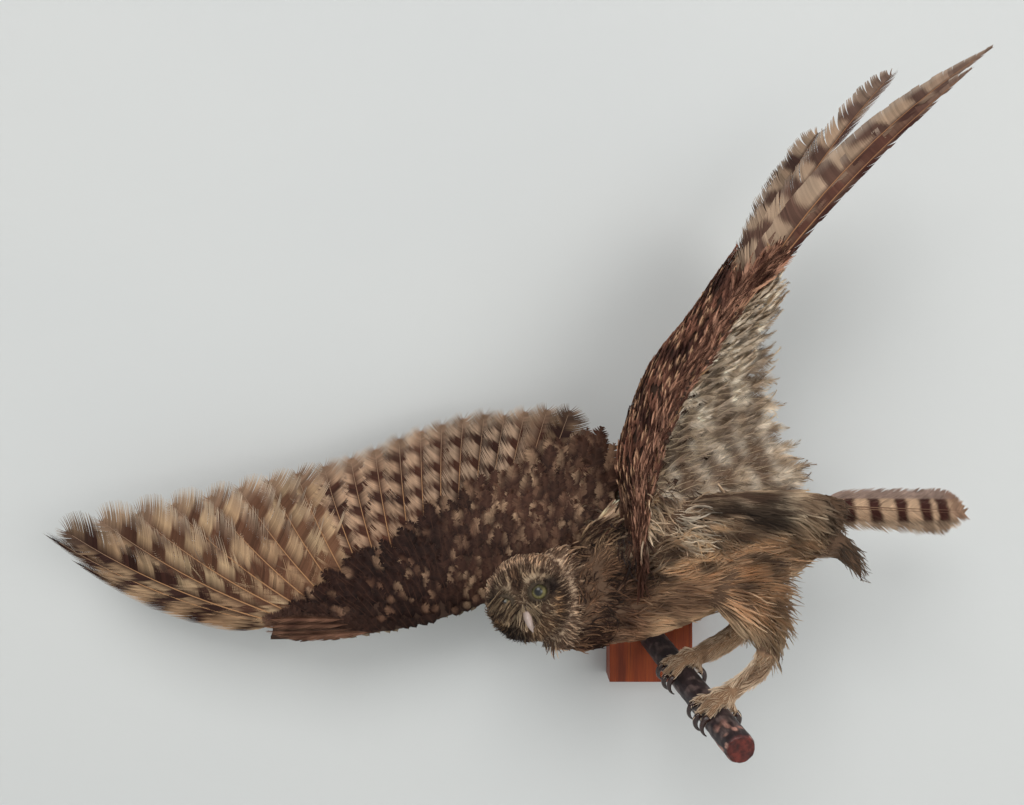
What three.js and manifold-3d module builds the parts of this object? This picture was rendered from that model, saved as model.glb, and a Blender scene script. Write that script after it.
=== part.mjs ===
// A mounted small owl in flight, perched across a short branch on a square wooden wall block.
// Millimetres, +Z up. The origin is the centre of the block's back face; the wall is the plane
// Y = 0 and the bird is at -Y, with its bill towards -X and its tail towards +X.
import * as THREE from 'three';
import { mergeVertices } from 'three/addons/utils/BufferGeometryUtils.js';
import Module from 'manifold-3d';

const wasm = await Module();
wasm.setup();

// ---- Driving dimensions ----
const GAP = 0.3; // clear space between two pieces that touch
const BLOCK_SIDE = 44.5;
const BLOCK_THICKNESS = 20;
const BRANCH_RADIUS = 7.3;
const BRANCH_TAPER = 0.94; // radius at the wall end over radius at the cut end
const BRANCH_END = new THREE.Vector3(25.4, -127, -23.5);
const HEAD_RADIUS = 21.5;
const HEAD_CENTRE = new THREE.Vector3(-65.5, -86, 36);
const EYE_RADIUS = 4.6;
const EYE_SPACING = 16.4; // between the centres of the two eyes
const CLAW_LENGTH = 9;
const CLAW_BEND = 1.5; // radians that a claw turns through from its root to its point
const TOE_RADIUS = 2.4;
const FEATHER_THICKNESS = 1; // of the vanes at the edge of wing and tail
const LEFT_WING_FEATHERS = 20;
const RIGHT_WING_FEATHERS = 21;
const RING_POINTS = 16;

const Y_AXIS = new THREE.Vector3(0, 1, 0);
const at = (x, y, z) => new THREE.Vector3(x, y, z);

// ---- Solids ----

/** Six times the signed volume: only its sign is used. */
function signedVolume(points, triangles) {
  let total = 0;
  for (let i = 0; i < triangles.length; i += 3) {
    const [a, b, c] = [points[triangles[i]], points[triangles[i + 1]], points[triangles[i + 2]]];
    total += a.dot(b.clone().cross(c));
  }
  return total;
}

/** A closed solid through rings of equal length, with a flat fan over each end. */
function loft(rings) {
  const count = rings[0].length;
  const points = rings.flat();
  const triangles = [];
  for (let ring = 0; ring < rings.length - 1; ring += 1) {
    for (let side = 0; side < count; side += 1) {
      const a = ring * count + side;
      const b = ring * count + ((side + 1) % count);
      triangles.push(a, b, a + count, b, b + count, a + count);
    }
  }
  const ends = [rings[0], rings[rings.length - 1]];
  ends.forEach((ring, end) => {
    const middle = ring.reduce((sum, point) => sum.add(point), at(0, 0, 0)).divideScalar(count);
    const centre = points.push(middle) - 1;
    const first = end === 0 ? 0 : (rings.length - 1) * count;
    for (let side = 0; side < count; side += 1) {
      const a = first + side;
      const b = first + ((side + 1) % count);
      triangles.push(...(end === 0 ? [b, a, centre] : [a, b, centre]));
    }
  });
  if (signedVolume(points, triangles) < 0) {
    triangles.reverse();
  }
  return new wasm.Manifold(new wasm.Mesh({
    numProp: 3,
    vertProperties: new Float32Array(points.flatMap((point) => point.toArray())),
    triVerts: new Uint32Array(triangles),
  }));
}

/** A three.js geometry as a solid. */
function fromGeometry(geometry) {
  const bare = geometry.clone();
  bare.deleteAttribute('normal');
  bare.deleteAttribute('uv');
  const merged = mergeVertices(bare, 1e-4);
  return new wasm.Manifold(new wasm.Mesh({
    numProp: 3,
    vertProperties: new Float32Array(merged.attributes.position.array),
    triVerts: new Uint32Array(merged.index.array),
  }));
}

/** Stations { at, wide, high } made into `count` smooth ones along the same run. */
function smooth(stations, count) {
  const path = new THREE.CatmullRomCurve3(stations.map((station) => station.at));
  const sizes = new THREE.CatmullRomCurve3(stations.map((station) => at(station.wide, station.high, 0)));
  return Array.from({ length: count }, (_, i) => {
    const t = i / (count - 1);
    const size = sizes.getPoint(t);
    return { at: path.getPoint(t), wide: Math.max(size.x, 0.3), high: Math.max(size.y, 0.3) };
  });
}

/** An elliptical tube along stations; `across` is the direction in which `wide` is measured. */
function tube(stations, across, grow = 0, sides = RING_POINTS) {
  const rings = stations.map((station, i) => {
    const before = stations[Math.max(i - 1, 0)].at;
    const after = stations[Math.min(i + 1, stations.length - 1)].at;
    const along = after.clone().sub(before).normalize();
    const wideAxis = across.clone().addScaledVector(along, -across.dot(along)).normalize();
    const highAxis = along.clone().cross(wideAxis);
    return Array.from({ length: sides }, (_, k) => {
      const angle = (k / sides) * Math.PI * 2;
      return station.at.clone()
        .addScaledVector(wideAxis, Math.cos(angle) * (station.wide + grow))
        .addScaledVector(highAxis, Math.sin(angle) * (station.high + grow));
    });
  });
  return loft(rings);
}

/** The largest of a solid's separate bodies, so that no sliver of a cut stays behind. */
function largest(solid) {
  return solid.decompose().sort((a, b) => b.volume() - a.volume())[0];
}

/** The part of a solid that is ahead of a plane through `point`, half a gap clear of it. */
function ahead(solid, point, normal) {
  const unit = normal.clone().normalize();
  return solid.trimByPlane(unit.toArray(), unit.dot(point) + GAP / 2);
}

/** The part of a solid that is behind the same plane. */
function behind(solid, point, normal) {
  return ahead(solid, point, normal.clone().negate());
}

// ---- Mount: block and branch ----

const BRANCH_ROOT = at(0.5, -BLOCK_THICKNESS - GAP, 1.5);
const BRANCH_AXIS = BRANCH_END.clone().sub(BRANCH_ROOT).normalize();

function wallBlock() {
  const box = new THREE.BoxGeometry(BLOCK_SIDE, BLOCK_THICKNESS, BLOCK_SIDE);
  box.translate(0, -BLOCK_THICKNESS / 2, 0);
  return fromGeometry(box);
}

/** The branch, cut flush with the block's face at its root and square across at its free end. */
function branch(grow = 0) {
  const buried = BRANCH_ROOT.clone().addScaledVector(BRANCH_AXIS, -12);
  const size = BRANCH_RADIUS * BRANCH_TAPER;
  const shape = tube([
    { at: buried, wide: size, high: size },
    { at: BRANCH_ROOT, wide: size, high: size },
    { at: BRANCH_ROOT.clone().lerp(BRANCH_END, 0.5), wide: BRANCH_RADIUS * 0.97, high: BRANCH_RADIUS },
    { at: BRANCH_END, wide: BRANCH_RADIUS, high: BRANCH_RADIUS },
  ], at(1, 0, 0), grow);
  return shape.trimByPlane([0, -1, 0], BLOCK_THICKNESS + GAP - grow);
}

// ---- Trunk, neck and tail ----

const TRUNK = [
  { at: at(-50, -76, 30), wide: 17, high: 19 },
  { at: at(-36, -74, 33), wide: 26, high: 27 },
  { at: at(-20, -72, 42), wide: 30, high: 34 },
  { at: at(0, -71, 50.5), wide: 32, high: 35 },
  { at: at(20, -71, 56), wide: 31, high: 31 },
  { at: at(40, -71, 60), wide: 29, high: 28 },
  { at: at(58, -71, 66), wide: 24, high: 23 },
  { at: at(72, -71, 71), wide: 18, high: 17 },
  { at: at(82, -71, 75), wide: 13, high: 11 },
  { at: at(87.5, -71, 77), wide: 9, high: 7 },
];
const NECK = [
  { at: at(-30, -74, 34), wide: 25, high: 26 },
  { at: at(-44, -78, 34), wide: 23, high: 27 },
  { at: at(-58, -84, 34), wide: 19, high: 23.5 },
];
const NECK_BASE = at(-37, -77, 34);
const NECK_TOP = at(-51, -80, 35);
const NECK_AXIS = at(-0.93, -0.34, 0.05);
const TRUNK_STEPS = 14;

/** Under-tail down: a soft cone below the root of the tail that ends in a hanging tuft. */
const VENT = [
  { at: at(68, -72, 58), wide: 10, high: 9 },
  { at: at(79, -74, 60), wide: 10, high: 10.5 },
  { at: at(87, -76, 56), wide: 7, high: 8.5 },
  { at: at(92, -78, 48.5), wide: 4.8, high: 5.5 },
  { at: at(94.5, -79, 40), wide: 1.6, high: 1.8 },
];

const TAIL_ROOT = at(80, -71, 79);
const TAIL_TIP = at(147.5, -72, 77.5);
const TAIL_ACROSS = at(0, -0.86, -0.5); // the near edge hangs lower than the far one
const TAIL_FEATHERS = 6; // on each side of the middle

/** The folded tail: a thick fan whose end is cut into round feather tips. */
function tail(grow = 0) {
  const steps = 6;
  const along = TAIL_TIP.clone().sub(TAIL_ROOT);
  const up = TAIL_ACROSS.clone().cross(along).normalize();
  const rows = TAIL_FEATHERS * 2;
  const face = (side) => Array.from({ length: rows + 1 }, (_, row) => {
    const v = (row / rows) * 2 - 1;
    const notch = 0.05 * Math.abs(Math.cos(v * Math.PI * TAIL_FEATHERS * 0.5));
    return Array.from({ length: steps + 1 }, (_unused, step) => {
      const t = step / steps;
      const length = t * (1 - 0.06 * v * v - notch * t);
      const half = 10.5 + 4.5 * t;
      const lift = side * (FEATHER_THICKNESS / 2 + 4.5 * (1 - t) * Math.sqrt(1 - 0.96 * v * v) + 0.8);
      return TAIL_ROOT.clone()
        .addScaledVector(along, length)
        .addScaledVector(TAIL_ACROSS, v * (half + grow))
        .addScaledVector(up, lift + side * grow + 3 * v * v * -1);
    });
  });
  return plate(face(1), face(-1));
}

/** A closed plate between two equal grids of points. */
function plate(upper, lower) {
  const rows = upper.length;
  const columns = upper[0].length;
  const rings = [];
  for (let row = 0; row < rows; row += 1) {
    rings.push([...upper[row], ...lower[row].slice(0, columns).reverse()]);
  }
  return loft(rings);
}

// ---- Head ----

const HEAD_FORWARD = at(-0.23, -0.97, 0.03).normalize();
const HEAD_UP = at(-0.37, 0, 0.93).addScaledVector(HEAD_FORWARD, -at(-0.37, 0, 0.93).dot(HEAD_FORWARD))
  .normalize();
const HEAD_LEFT = HEAD_UP.clone().cross(HEAD_FORWARD);

/** A point of the head: so far forward, up, and to the bird's left of its centre. */
function headPoint(forward, up, left = 0) {
  return HEAD_CENTRE.clone()
    .addScaledVector(HEAD_FORWARD, forward)
    .addScaledVector(HEAD_UP, up)
    .addScaledVector(HEAD_LEFT, left);
}

/** Forward places of the head's rings over its radius, and each ring's radius over the same. */
const HEAD_RINGS = [
  [-0.98, 0.2], [-0.86, 0.54], [-0.58, 0.86], [-0.2, 1], [0.2, 1.01],
  [0.48, 0.95], [0.66, 0.84], [0.77, 0.66], [0.84, 0.42], [0.86, 0.16],
];

function headShape(grow = 0) {
  const stations = HEAD_RINGS.map(([place, ring]) => ({
    at: headPoint(place * HEAD_RADIUS, -0.4),
    wide: ring * HEAD_RADIUS * 1.02,
    high: ring * HEAD_RADIUS * 0.98,
  }));
  return tube(smooth(stations, 12), HEAD_LEFT, grow);
}

const EYE_UP = 2.2;
const EYE_FORWARD = 15.2;

function eye(side, grow = 0) {
  const ball = new THREE.SphereGeometry(EYE_RADIUS + grow, 12, 8);
  const centre = headPoint(EYE_FORWARD, EYE_UP, side * EYE_SPACING / 2);
  ball.translate(centre.x, centre.y, centre.z);
  return fromGeometry(ball);
}

const BILL_UPPER = [
  { at: headPoint(13.5, -5), wide: 3.2, high: 3.2 },
  { at: headPoint(17.8, -6.2), wide: 2.8, high: 2.7 },
  { at: headPoint(20.4, -9.2), wide: 2.2, high: 2.1 },
  { at: headPoint(20.9, -12.6), wide: 1.4, high: 1.3 },
  { at: headPoint(19.8, -15.8), wide: 0.4, high: 0.4 },
];
const BILL_LOWER = [
  { at: headPoint(13, -9.4), wide: 2.6, high: 1.6 },
  { at: headPoint(16.2, -10.8), wide: 2.2, high: 1.4 },
  { at: headPoint(18.2, -12.8), wide: 1.4, high: 1 },
  { at: headPoint(18.5, -14), wide: 0.6, high: 0.5 },
];

function bill(stations, grow = 0) {
  return tube(smooth(stations, 8), HEAD_LEFT, grow, 10);
}

// ---- Wings ----

/** Height of a wing section at a fraction of its chord: round nose, thickest at a third, thin tail. */
function wingProfile(chord) {
  const slope = -0.126 * chord - 0.3516 * chord ** 2 + 0.2843 * chord ** 3 - 0.1015 * chord ** 4;
  return (0.2969 * Math.sqrt(chord) + slope) / 0.1;
}

/**
 * One wing as sections from the shoulder to the tip. `leading` and `trailing` are its two edges,
 * `back` the height of the upper side and `hollow` that of the under side over the chord line,
 * both as [shoulder, ..., tip]. `up` tells which way the upper side faces.
 */
function wing({ leading, trailing, back, hollow, up, feathers, scallop }) {
  const front = new THREE.CatmullRomCurve3(leading);
  const rear = new THREE.CatmullRomCurve3(trailing);
  const heights = new THREE.CatmullRomCurve3(back.map((value, i) => at(value, hollow[i], 0)));
  const stationsPerFeather = 2;
  const sections = feathers * stationsPerFeather;
  const columns = 5;
  const rows = { upper: [], lower: [] };
  for (let i = 0; i <= sections; i += 1) {
    const span = Math.min(i / sections, 0.997);
    const nose = front.getPoint(span);
    const tip = rear.getPoint(span);
    const notch = scallop * Math.abs(Math.cos((Math.PI * i) / stationsPerFeather)) * (0.4 + span);
    const chordLine = tip.clone().sub(nose);
    tip.addScaledVector(chordLine.clone().normalize(), -notch);
    const spanwise = front.getPoint(Math.min(span + 0.02, 1)).sub(front.getPoint(Math.max(span - 0.02, 0)));
    const normal = chordLine.clone().cross(spanwise).normalize();
    if (normal.dot(up(span)) < 0) {
      normal.negate();
    }
    const height = heights.getPoint(span);
    const side = (lift) => Array.from({ length: columns + 1 }, (_, k) => {
      const chord = (k / columns) ** 1.6;
      const rim = Math.min(FEATHER_THICKNESS / 2, chord * 8);
      const offset = lift > 0 ? height.x * wingProfile(chord) + rim : height.y * wingProfile(chord) - rim;
      return nose.clone().lerp(tip, chord).addScaledVector(normal, offset);
    });
    rows.upper.push(side(1));
    rows.lower.push(side(-1).slice(1));
  }
  const rings = rows.upper.map((row, i) => [...row, ...rows.lower[i].reverse()]);
  return loft(rings);
}

/** The far wing, spread flat along the wall with its upper side to the front. */
const RIGHT_WING = {
  leading: [
    at(-24, -50, 50), at(-56, -50, 38), at(-90, -48, 23), at(-128, -46, 11), at(-170, -46, 6),
    at(-208, -47, 6), at(-246, -48, 20), at(-284, -51, 38), at(-311, -54, 64),
  ],
  trailing: [
    at(-22, -46, 88), at(-32, -40, 112), at(-46, -36, 130), at(-93, -33, 127), at(-131, -36, 117),
    at(-182, -40, 100), at(-230, -45, 88), at(-284, -51, 77), at(-312, -54, 67),
  ],
  back: [9, 9, 8, 8, 7, 5, 3, 1.5, 0.6],
  hollow: [-5, -4, -3, -3, -2, -1, 0, 0, 0],
  up: () => at(0, -1, 0),
  feathers: RIGHT_WING_FEATHERS,
  scallop: 3,
};

/** The near wing, raised, its front edge towards the room and its hand twisted the other way. */
const LEFT_WING = {
  leading: [
    at(-17, -100, 42), at(-14, -107, 66), at(-10, -110, 92), at(2, -111, 127), at(16, -112, 150),
    at(32, -112, 175), at(52, -112, 198), at(83, -113, 232), at(115, -115, 265), at(143, -112, 291),
  ],
  trailing: [
    at(72, -48, 78), at(74, -42, 92), at(67, -34, 112), at(64, -32, 133), at(63, -32, 158),
    at(68, -36, 194), at(50, -46, 222), at(64, -58, 252), at(99, -86, 284), at(143, -111, 293),
  ],
  back: [14, 29, 40, 36, 28, 22, 15, 7, 3, 0.6],
  hollow: [-2, 5, 12, 12, 9, 6, 4, 1, 0.3, 0],
  up: () => at(-0.9, 0.3, 0.3),
  feathers: LEFT_WING_FEATHERS,
  scallop: 2.5,
};

/** The two planes that part each wing into arm, forearm and hand: a point and an outward normal. */
const RIGHT_WING_CUTS = [
  { point: at(-78, -46, 60), normal: at(-1, 0, -0.25) },
  { point: at(-150, -46, 40), normal: at(-1, 0, -0.45) },
];
const LEFT_WING_CUTS = [
  { point: at(20, -80, 118), normal: at(0.2, 0, 1) },
  { point: at(45, -80, 184), normal: at(0.35, 0, 1) },
];

/** A wing's three lengths, clear of the body. */
function wingLengths(shape, cuts, body) {
  const whole = wing(shape).subtract(body);
  const [elbow, wrist] = cuts;
  return {
    arm: largest(behind(whole, elbow.point, elbow.normal)),
    forearm: largest(behind(ahead(whole, elbow.point, elbow.normal), wrist.point, wrist.normal)),
    hand: largest(ahead(whole, wrist.point, wrist.normal)),
  };
}

// ---- Legs ----

/** A foot's place on the branch: distance from the wall end, and the turn of its sole from the top. */
const FEET = {
  left: { along: 0.76, turn: -0.4 },
  right: { along: 0.4, turn: -0.3 },
};
const LEGS = {
  left: {
    thigh: [
      { at: at(30, -86, 48), wide: 15, high: 22 },
      { at: at(38, -94, 34), wide: 12, high: 17 },
      { at: at(43, -101, 21), wide: 8, high: 10 },
      { at: at(43, -104, 11), wide: 5.6, high: 6 },
    ],
    shank: [
      { at: at(42, -104, 13), wide: 5.4, high: 5.4 },
      { at: at(39, -102, 5.5), wide: 5, high: 5 },
      { at: at(32, -98, -2), wide: 4.5, high: 4.6 },
      { at: at(26.5, -95, -7.5), wide: 5, high: 4.6 },
    ],
  },
  right: {
    thigh: [
      { at: at(28, -56, 42), wide: 12, high: 14 },
      { at: at(36, -52, 30), wide: 9, high: 11 },
      { at: at(41, -50, 19), wide: 6.4, high: 7 },
      { at: at(41, -50, 11), wide: 6.4, high: 6.4 },
    ],
    shank: [
      { at: at(41, -50, 12.5), wide: 6.2, high: 6.4 },
      { at: at(35, -52, 8), wide: 6, high: 6.2 },
      { at: at(27, -56, 4.5), wide: 5.4, high: 6 },
      { at: at(17, -60, 1), wide: 4.8, high: 4.8 },
    ],
  },
};

/** Toes of a foot: place along the branch, angle reached round it, and start angle. */
const TOES = [
  { name: '1', spread: -7.5, from: 0.2, reach: 1.5 },
  { name: '2', spread: 0, from: 0.3, reach: 1.7 },
  { name: '3', spread: 7, from: 0.2, reach: 1.45 },
  { name: '4', spread: 2, from: -0.3, reach: -0.85 },
];

/** A point round the branch: how far along it, at an angle from its top towards -X, and how far out. */
function roundBranch(along, angle, radius) {
  const top = at(0, 0, 1).addScaledVector(BRANCH_AXIS, -BRANCH_AXIS.z).normalize();
  const side = top.clone().cross(BRANCH_AXIS).negate();
  if (side.x > 0) {
    side.negate();
  }
  return BRANCH_ROOT.clone()
    .addScaledVector(BRANCH_AXIS, along)
    .addScaledVector(top, Math.cos(angle) * radius)
    .addScaledVector(side, Math.sin(angle) * radius);
}

/** The middle line of a toe: `t` runs from the sole at 0 to the root of the claw at 1. */
function toePoint(foot, toe, t, lift = 0) {
  const length = BRANCH_END.distanceTo(BRANCH_ROOT);
  const angle = foot.turn + toe.from + (toe.reach - toe.from) * t;
  const along = foot.along * length + toe.spread * Math.sin((t * Math.PI) / 2);
  return roundBranch(along, angle, BRANCH_RADIUS + TOE_RADIUS * 0.85 + lift);
}

function toeShape(foot, toe) {
  const places = [0, 0.25, 0.5, 0.75, 1];
  const stations = places.map((t) => ({
    at: toePoint(foot, toe, t),
    wide: TOE_RADIUS * (1.15 - 0.35 * t),
    high: TOE_RADIUS * (1.05 - 0.3 * t),
  }));
  return tube(stations, BRANCH_AXIS, 0, 8);
}

/** A claw: a hook that leaves the toe's end and curls in under the branch. */
function claw(foot, toe) {
  const root = toePoint(foot, toe, 1);
  const back = toePoint(foot, toe, 0.9);
  const forward = root.clone().sub(back).normalize();
  const inward = roundBranch(0, foot.turn + toe.reach, 1).sub(roundBranch(0, foot.turn + toe.reach, 0))
    .negate();
  const stations = [0, 0.25, 0.5, 0.75, 1].map((t) => {
    const bend = t * CLAW_BEND;
    return {
      at: root.clone()
        .addScaledVector(forward, GAP + (CLAW_LENGTH * Math.sin(bend)) / CLAW_BEND)
        .addScaledVector(inward, (CLAW_LENGTH * (1 - Math.cos(bend))) / CLAW_BEND),
      wide: 1.55 * (1 - 0.82 * t),
      high: 1.8 * (1 - 0.82 * t),
    };
  });
  return tube(stations, BRANCH_AXIS, 0, 8);
}

/** Sole and toes in one piece, cut clear of the branch. */
function footShape(foot, leg) {
  const ankle = leg.shank[leg.shank.length - 1].at;
  const sole = toePoint(foot, TOES[1], 0, 1);
  const pad = tube(smooth([
    { at: ankle.clone().lerp(sole, -0.2), wide: 4.6, high: 4.6 },
    { at: ankle.clone().lerp(sole, 0.5), wide: 5.4, high: 5 },
    { at: sole, wide: 5, high: 4.4 },
  ], 5), BRANCH_AXIS, 0, 12);
  return TOES.reduce((whole, toe) => whole.add(toeShape(foot, toe)), pad);
}

// ---- Materials ----

const material = (color, roughness, metalness = 0) =>
  new THREE.MeshStandardMaterial({ color, roughness, metalness });
const WOOD = material(0x8f4322, 0.45);
const BARK = material(0x33292b, 0.7);
const BUFF = material(0xb4a484, 0.9);
const FLANK = material(0x9c9078, 0.9);
const BROWN = material(0x5f5044, 0.9);
const DARK = material(0x3f302a, 0.85);
const HORN = material(0xb9ab9c, 0.35);
const IRIS = material(0x9c9640, 0.1);
const CLAW = material(0x1c1516, 0.3);

// ---- The object ----

const model = new THREE.Group();

function add(name, solid, look) {
  const mesh = solid.getMesh();
  const geometry = new THREE.BufferGeometry();
  geometry.setAttribute('position', new THREE.BufferAttribute(new Float32Array(mesh.vertProperties), 3));
  geometry.setIndex([...mesh.triVerts]);
  const node = new THREE.Mesh(geometry, look);
  node.name = name;
  model.add(node);
}

function addMount() {
  add('wall_block', wallBlock(), WOOD);
  add('branch', branch(), BARK);
}

/** Trunk, neck and head as one shape, each part grown by the same amount. */
function bodyShape(grow) {
  return tube(smooth(TRUNK, TRUNK_STEPS), Y_AXIS, grow)
    .add(tube(smooth(NECK, 6), Y_AXIS, grow))
    .add(headShape(grow));
}

function addBody() {
  const hollows = eye(1, GAP).add(eye(-1, GAP))
    .add(bill(BILL_UPPER, GAP)).add(bill(BILL_LOWER, GAP)).add(tail(GAP));
  const whole = bodyShape(0).subtract(hollows);
  add('trunk', largest(behind(whole, NECK_BASE, NECK_AXIS)), FLANK);
  add('neck', largest(behind(ahead(whole, NECK_BASE, NECK_AXIS), NECK_TOP, NECK_AXIS)), BROWN);
  add('head', largest(ahead(whole, NECK_TOP, NECK_AXIS)), BROWN);
  add('eye_left', eye(1), IRIS);
  add('eye_right', eye(-1), IRIS);
  add('bill_upper', bill(BILL_UPPER), HORN);
  add('bill_lower', largest(bill(BILL_LOWER).subtract(bill(BILL_UPPER, GAP))), HORN);
  add('tail', tail(), DARK);
  add('vent', largest(tube(smooth(VENT, 8), Y_AXIS, 0, 12).subtract(bodyShape(GAP)).subtract(tail(GAP))), FLANK);
}

function addWings() {
  const body = bodyShape(GAP);
  const wings = {
    left: wingLengths(LEFT_WING, LEFT_WING_CUTS, body),
    right: wingLengths(RIGHT_WING, RIGHT_WING_CUTS, body),
  };
  Object.entries(wings).forEach(([side, lengths]) => {
    Object.entries(lengths).forEach(([length, solid]) => add(`wing_${side}_${length}`, solid, DARK));
  });
}

function addLegs() {
  const body = bodyShape(GAP);
  const perch = branch(GAP);
  Object.entries(LEGS).forEach(([side, leg]) => {
    const foot = FEET[side];
    const hock = leg.shank[0].at;
    const ankle = leg.shank[leg.shank.length - 1].at;
    const down = leg.shank[1].at.clone().sub(leg.thigh[2].at);
    const onward = ankle.clone().sub(leg.shank[2].at);
    const thigh = tube(smooth(leg.thigh, 7), Y_AXIS, 0, 12);
    const shank = tube(smooth(leg.shank, 7), Y_AXIS, 0, 12);
    const limb = thigh.add(shank).add(footShape(foot, leg)).subtract(body).subtract(perch);
    const lower = ahead(limb, hock, down);
    add(`thigh_${side}`, largest(behind(limb, hock, down)), BUFF);
    add(`shank_${side}`, largest(behind(lower, ankle, onward)), BUFF);
    const toes = TOES.map((toe) => claw(foot, toe));
    const clear = toes.reduce((solid, hook) => solid.subtract(hook), ahead(lower, ankle, onward));
    add(`foot_${side}`, largest(clear), BUFF);
    toes.forEach((hook, i) => add(`claw_${side}_${TOES[i].name}`, hook, CLAW));
  });
}

addMount();
addBody();
addWings();
addLegs();

export default model;
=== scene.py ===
"""Looks of the mounted owl: one skin under feathers of solid mesh, glass eyes, horn, bark and wood.

Shapes are worked out in millimetres in the part's own frame, +Z up, the wall at Y = 0, and are
turned into metres where a mesh is made. The bird's bill is towards -X and its tail towards +X.
"""
import math

import bpy
import numpy as np
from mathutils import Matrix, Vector
from mathutils.bvhtree import BVHTree


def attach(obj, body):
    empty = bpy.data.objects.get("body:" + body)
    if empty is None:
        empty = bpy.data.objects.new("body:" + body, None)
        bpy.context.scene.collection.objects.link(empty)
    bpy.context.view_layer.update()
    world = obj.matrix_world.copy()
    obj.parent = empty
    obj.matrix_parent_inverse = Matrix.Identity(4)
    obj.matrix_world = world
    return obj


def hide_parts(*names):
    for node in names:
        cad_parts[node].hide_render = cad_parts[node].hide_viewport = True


MM = 0.001
MAX_QUADS = 95_000  # in one piece of the coat
BAKE_MAP = "OFBake"
TUFT_PATCH = 0.003  # of the bake map, for one small feather
rng = np.random.default_rng(7041)

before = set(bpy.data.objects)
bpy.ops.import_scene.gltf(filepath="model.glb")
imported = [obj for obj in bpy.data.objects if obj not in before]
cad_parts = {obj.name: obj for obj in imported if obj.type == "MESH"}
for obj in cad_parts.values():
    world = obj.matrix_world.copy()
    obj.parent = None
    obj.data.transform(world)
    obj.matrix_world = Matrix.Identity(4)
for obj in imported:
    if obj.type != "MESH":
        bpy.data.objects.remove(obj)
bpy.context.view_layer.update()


# ---- Numbers, directions and noise ----

def unit(v):
    """Vectors turned into directions of length one."""
    return v / np.maximum(np.linalg.norm(v, axis=-1, keepdims=True), 1e-9)


def dot(a, b):
    """Dot products that keep their last axis."""
    return np.sum(a * b, axis=-1, keepdims=True)


def ease(low, high, x):
    """0 where x is at `low`, 1 where it is at `high` and smooth between; low may be the greater."""
    t = np.clip((x - low) / (high - low), 0, 1)
    return t * t * (3 - 2 * t)


def square_to(v, axis):
    """The unit vectors nearest to v that stand square to unit axes."""
    return unit(v - axis * dot(v, axis))


def from_to(root, tip):
    """Unit directions from roots to tips, and how far it is."""
    along = tip - root
    return unit(along), np.linalg.norm(along, axis=1)


def mix(a, b, t):
    """From a to b by t. They are plain numbers or colours; a tuple is a colour as it shows on a screen."""
    t = np.asarray(t)
    a, b = (colour(*c) if isinstance(c, tuple) else np.asarray(c, float) for c in (a, b))
    if a.ndim and a.shape[-1] == 3 or b.ndim and b.shape[-1] == 3:
        t = t[..., None]
    return a + (b - a) * t


def colour(red, green, blue):
    """A colour given as it shows on a screen, 0 to 255, as linear light."""
    c = np.array([red, green, blue]) / 255
    return np.where(c <= 0.04045, c / 12.92, ((c + 0.055) / 1.055) ** 2.4)


def noise(points, size, seed=0):
    """Smooth value noise from 0 to 1 whose lumps are `size` across."""
    p = np.asarray(points) / size + seed * 17.31
    base = np.floor(p).astype(np.int64)
    f = p - base
    f = f * f * (3 - 2 * f)
    total = 0
    for corner in range(8):
        step = np.array([corner & 1, corner >> 1 & 1, corner >> 2 & 1])
        cell = base + step
        mixed = cell[..., 0] * 374761393 + cell[..., 1] * 668265263 + cell[..., 2] * 2147483647
        mixed = (mixed ^ (mixed >> 13)) * 1274126177
        value = ((mixed ^ (mixed >> 16)) & 0xFFFF) / 0xFFFF
        total = total + value * np.prod(np.where(step, f, 1 - f), axis=-1)
    return total


def turned(v, axis, angle):
    """Vectors turned about unit axes by angles."""
    angle = np.asarray(angle)[..., None]
    return v * np.cos(angle) + np.cross(axis, v) * np.sin(angle) + axis * dot(axis, v) * (1 - np.cos(angle))


def along_table(table, x):
    """A value read off a short table of (place, value) pairs; a value may be a tuple."""
    places = [row[0] for row in table]
    values = np.array([row[1] for row in table], float)
    if values.ndim == 1:
        return np.interp(x, places, values)
    return np.stack([np.interp(x, places, values[:, i]) for i in range(values.shape[1])], axis=-1)


def curve(points, t):
    """The centripetal Catmull-Rom curve through points, at t from 0 to 1."""
    points = np.asarray(points, float)
    last = len(points) - 1
    place = np.clip(np.asarray(t, float), 0, 1) * last
    i = np.minimum(place.astype(int), last - 1)
    f = (place - i)[..., None]
    padded = np.vstack([2 * points[0] - points[1], points, 2 * points[-1] - points[-2]])
    p0, p1, p2, p3 = (padded[i + k] for k in range(4))
    d0, d1, d2 = (np.maximum(np.linalg.norm(b - a, axis=-1, keepdims=True) ** 0.5, 1e-4)
                  for a, b in ((p0, p1), (p1, p2), (p2, p3)))
    t1 = ((p1 - p0) / d0 - (p2 - p0) / (d0 + d1) + (p2 - p1) / d1) * d1
    t2 = ((p2 - p1) / d1 - (p3 - p1) / (d1 + d2) + (p3 - p2) / d2) * d1
    c2 = -3 * p1 + 3 * p2 - 2 * t1 - t2
    c3 = 2 * p1 - 2 * p2 + t1 + t2
    return p1 + t1 * f + c2 * f * f + c3 * f ** 3


# ---- Shapes shared with the solids ----

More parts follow.
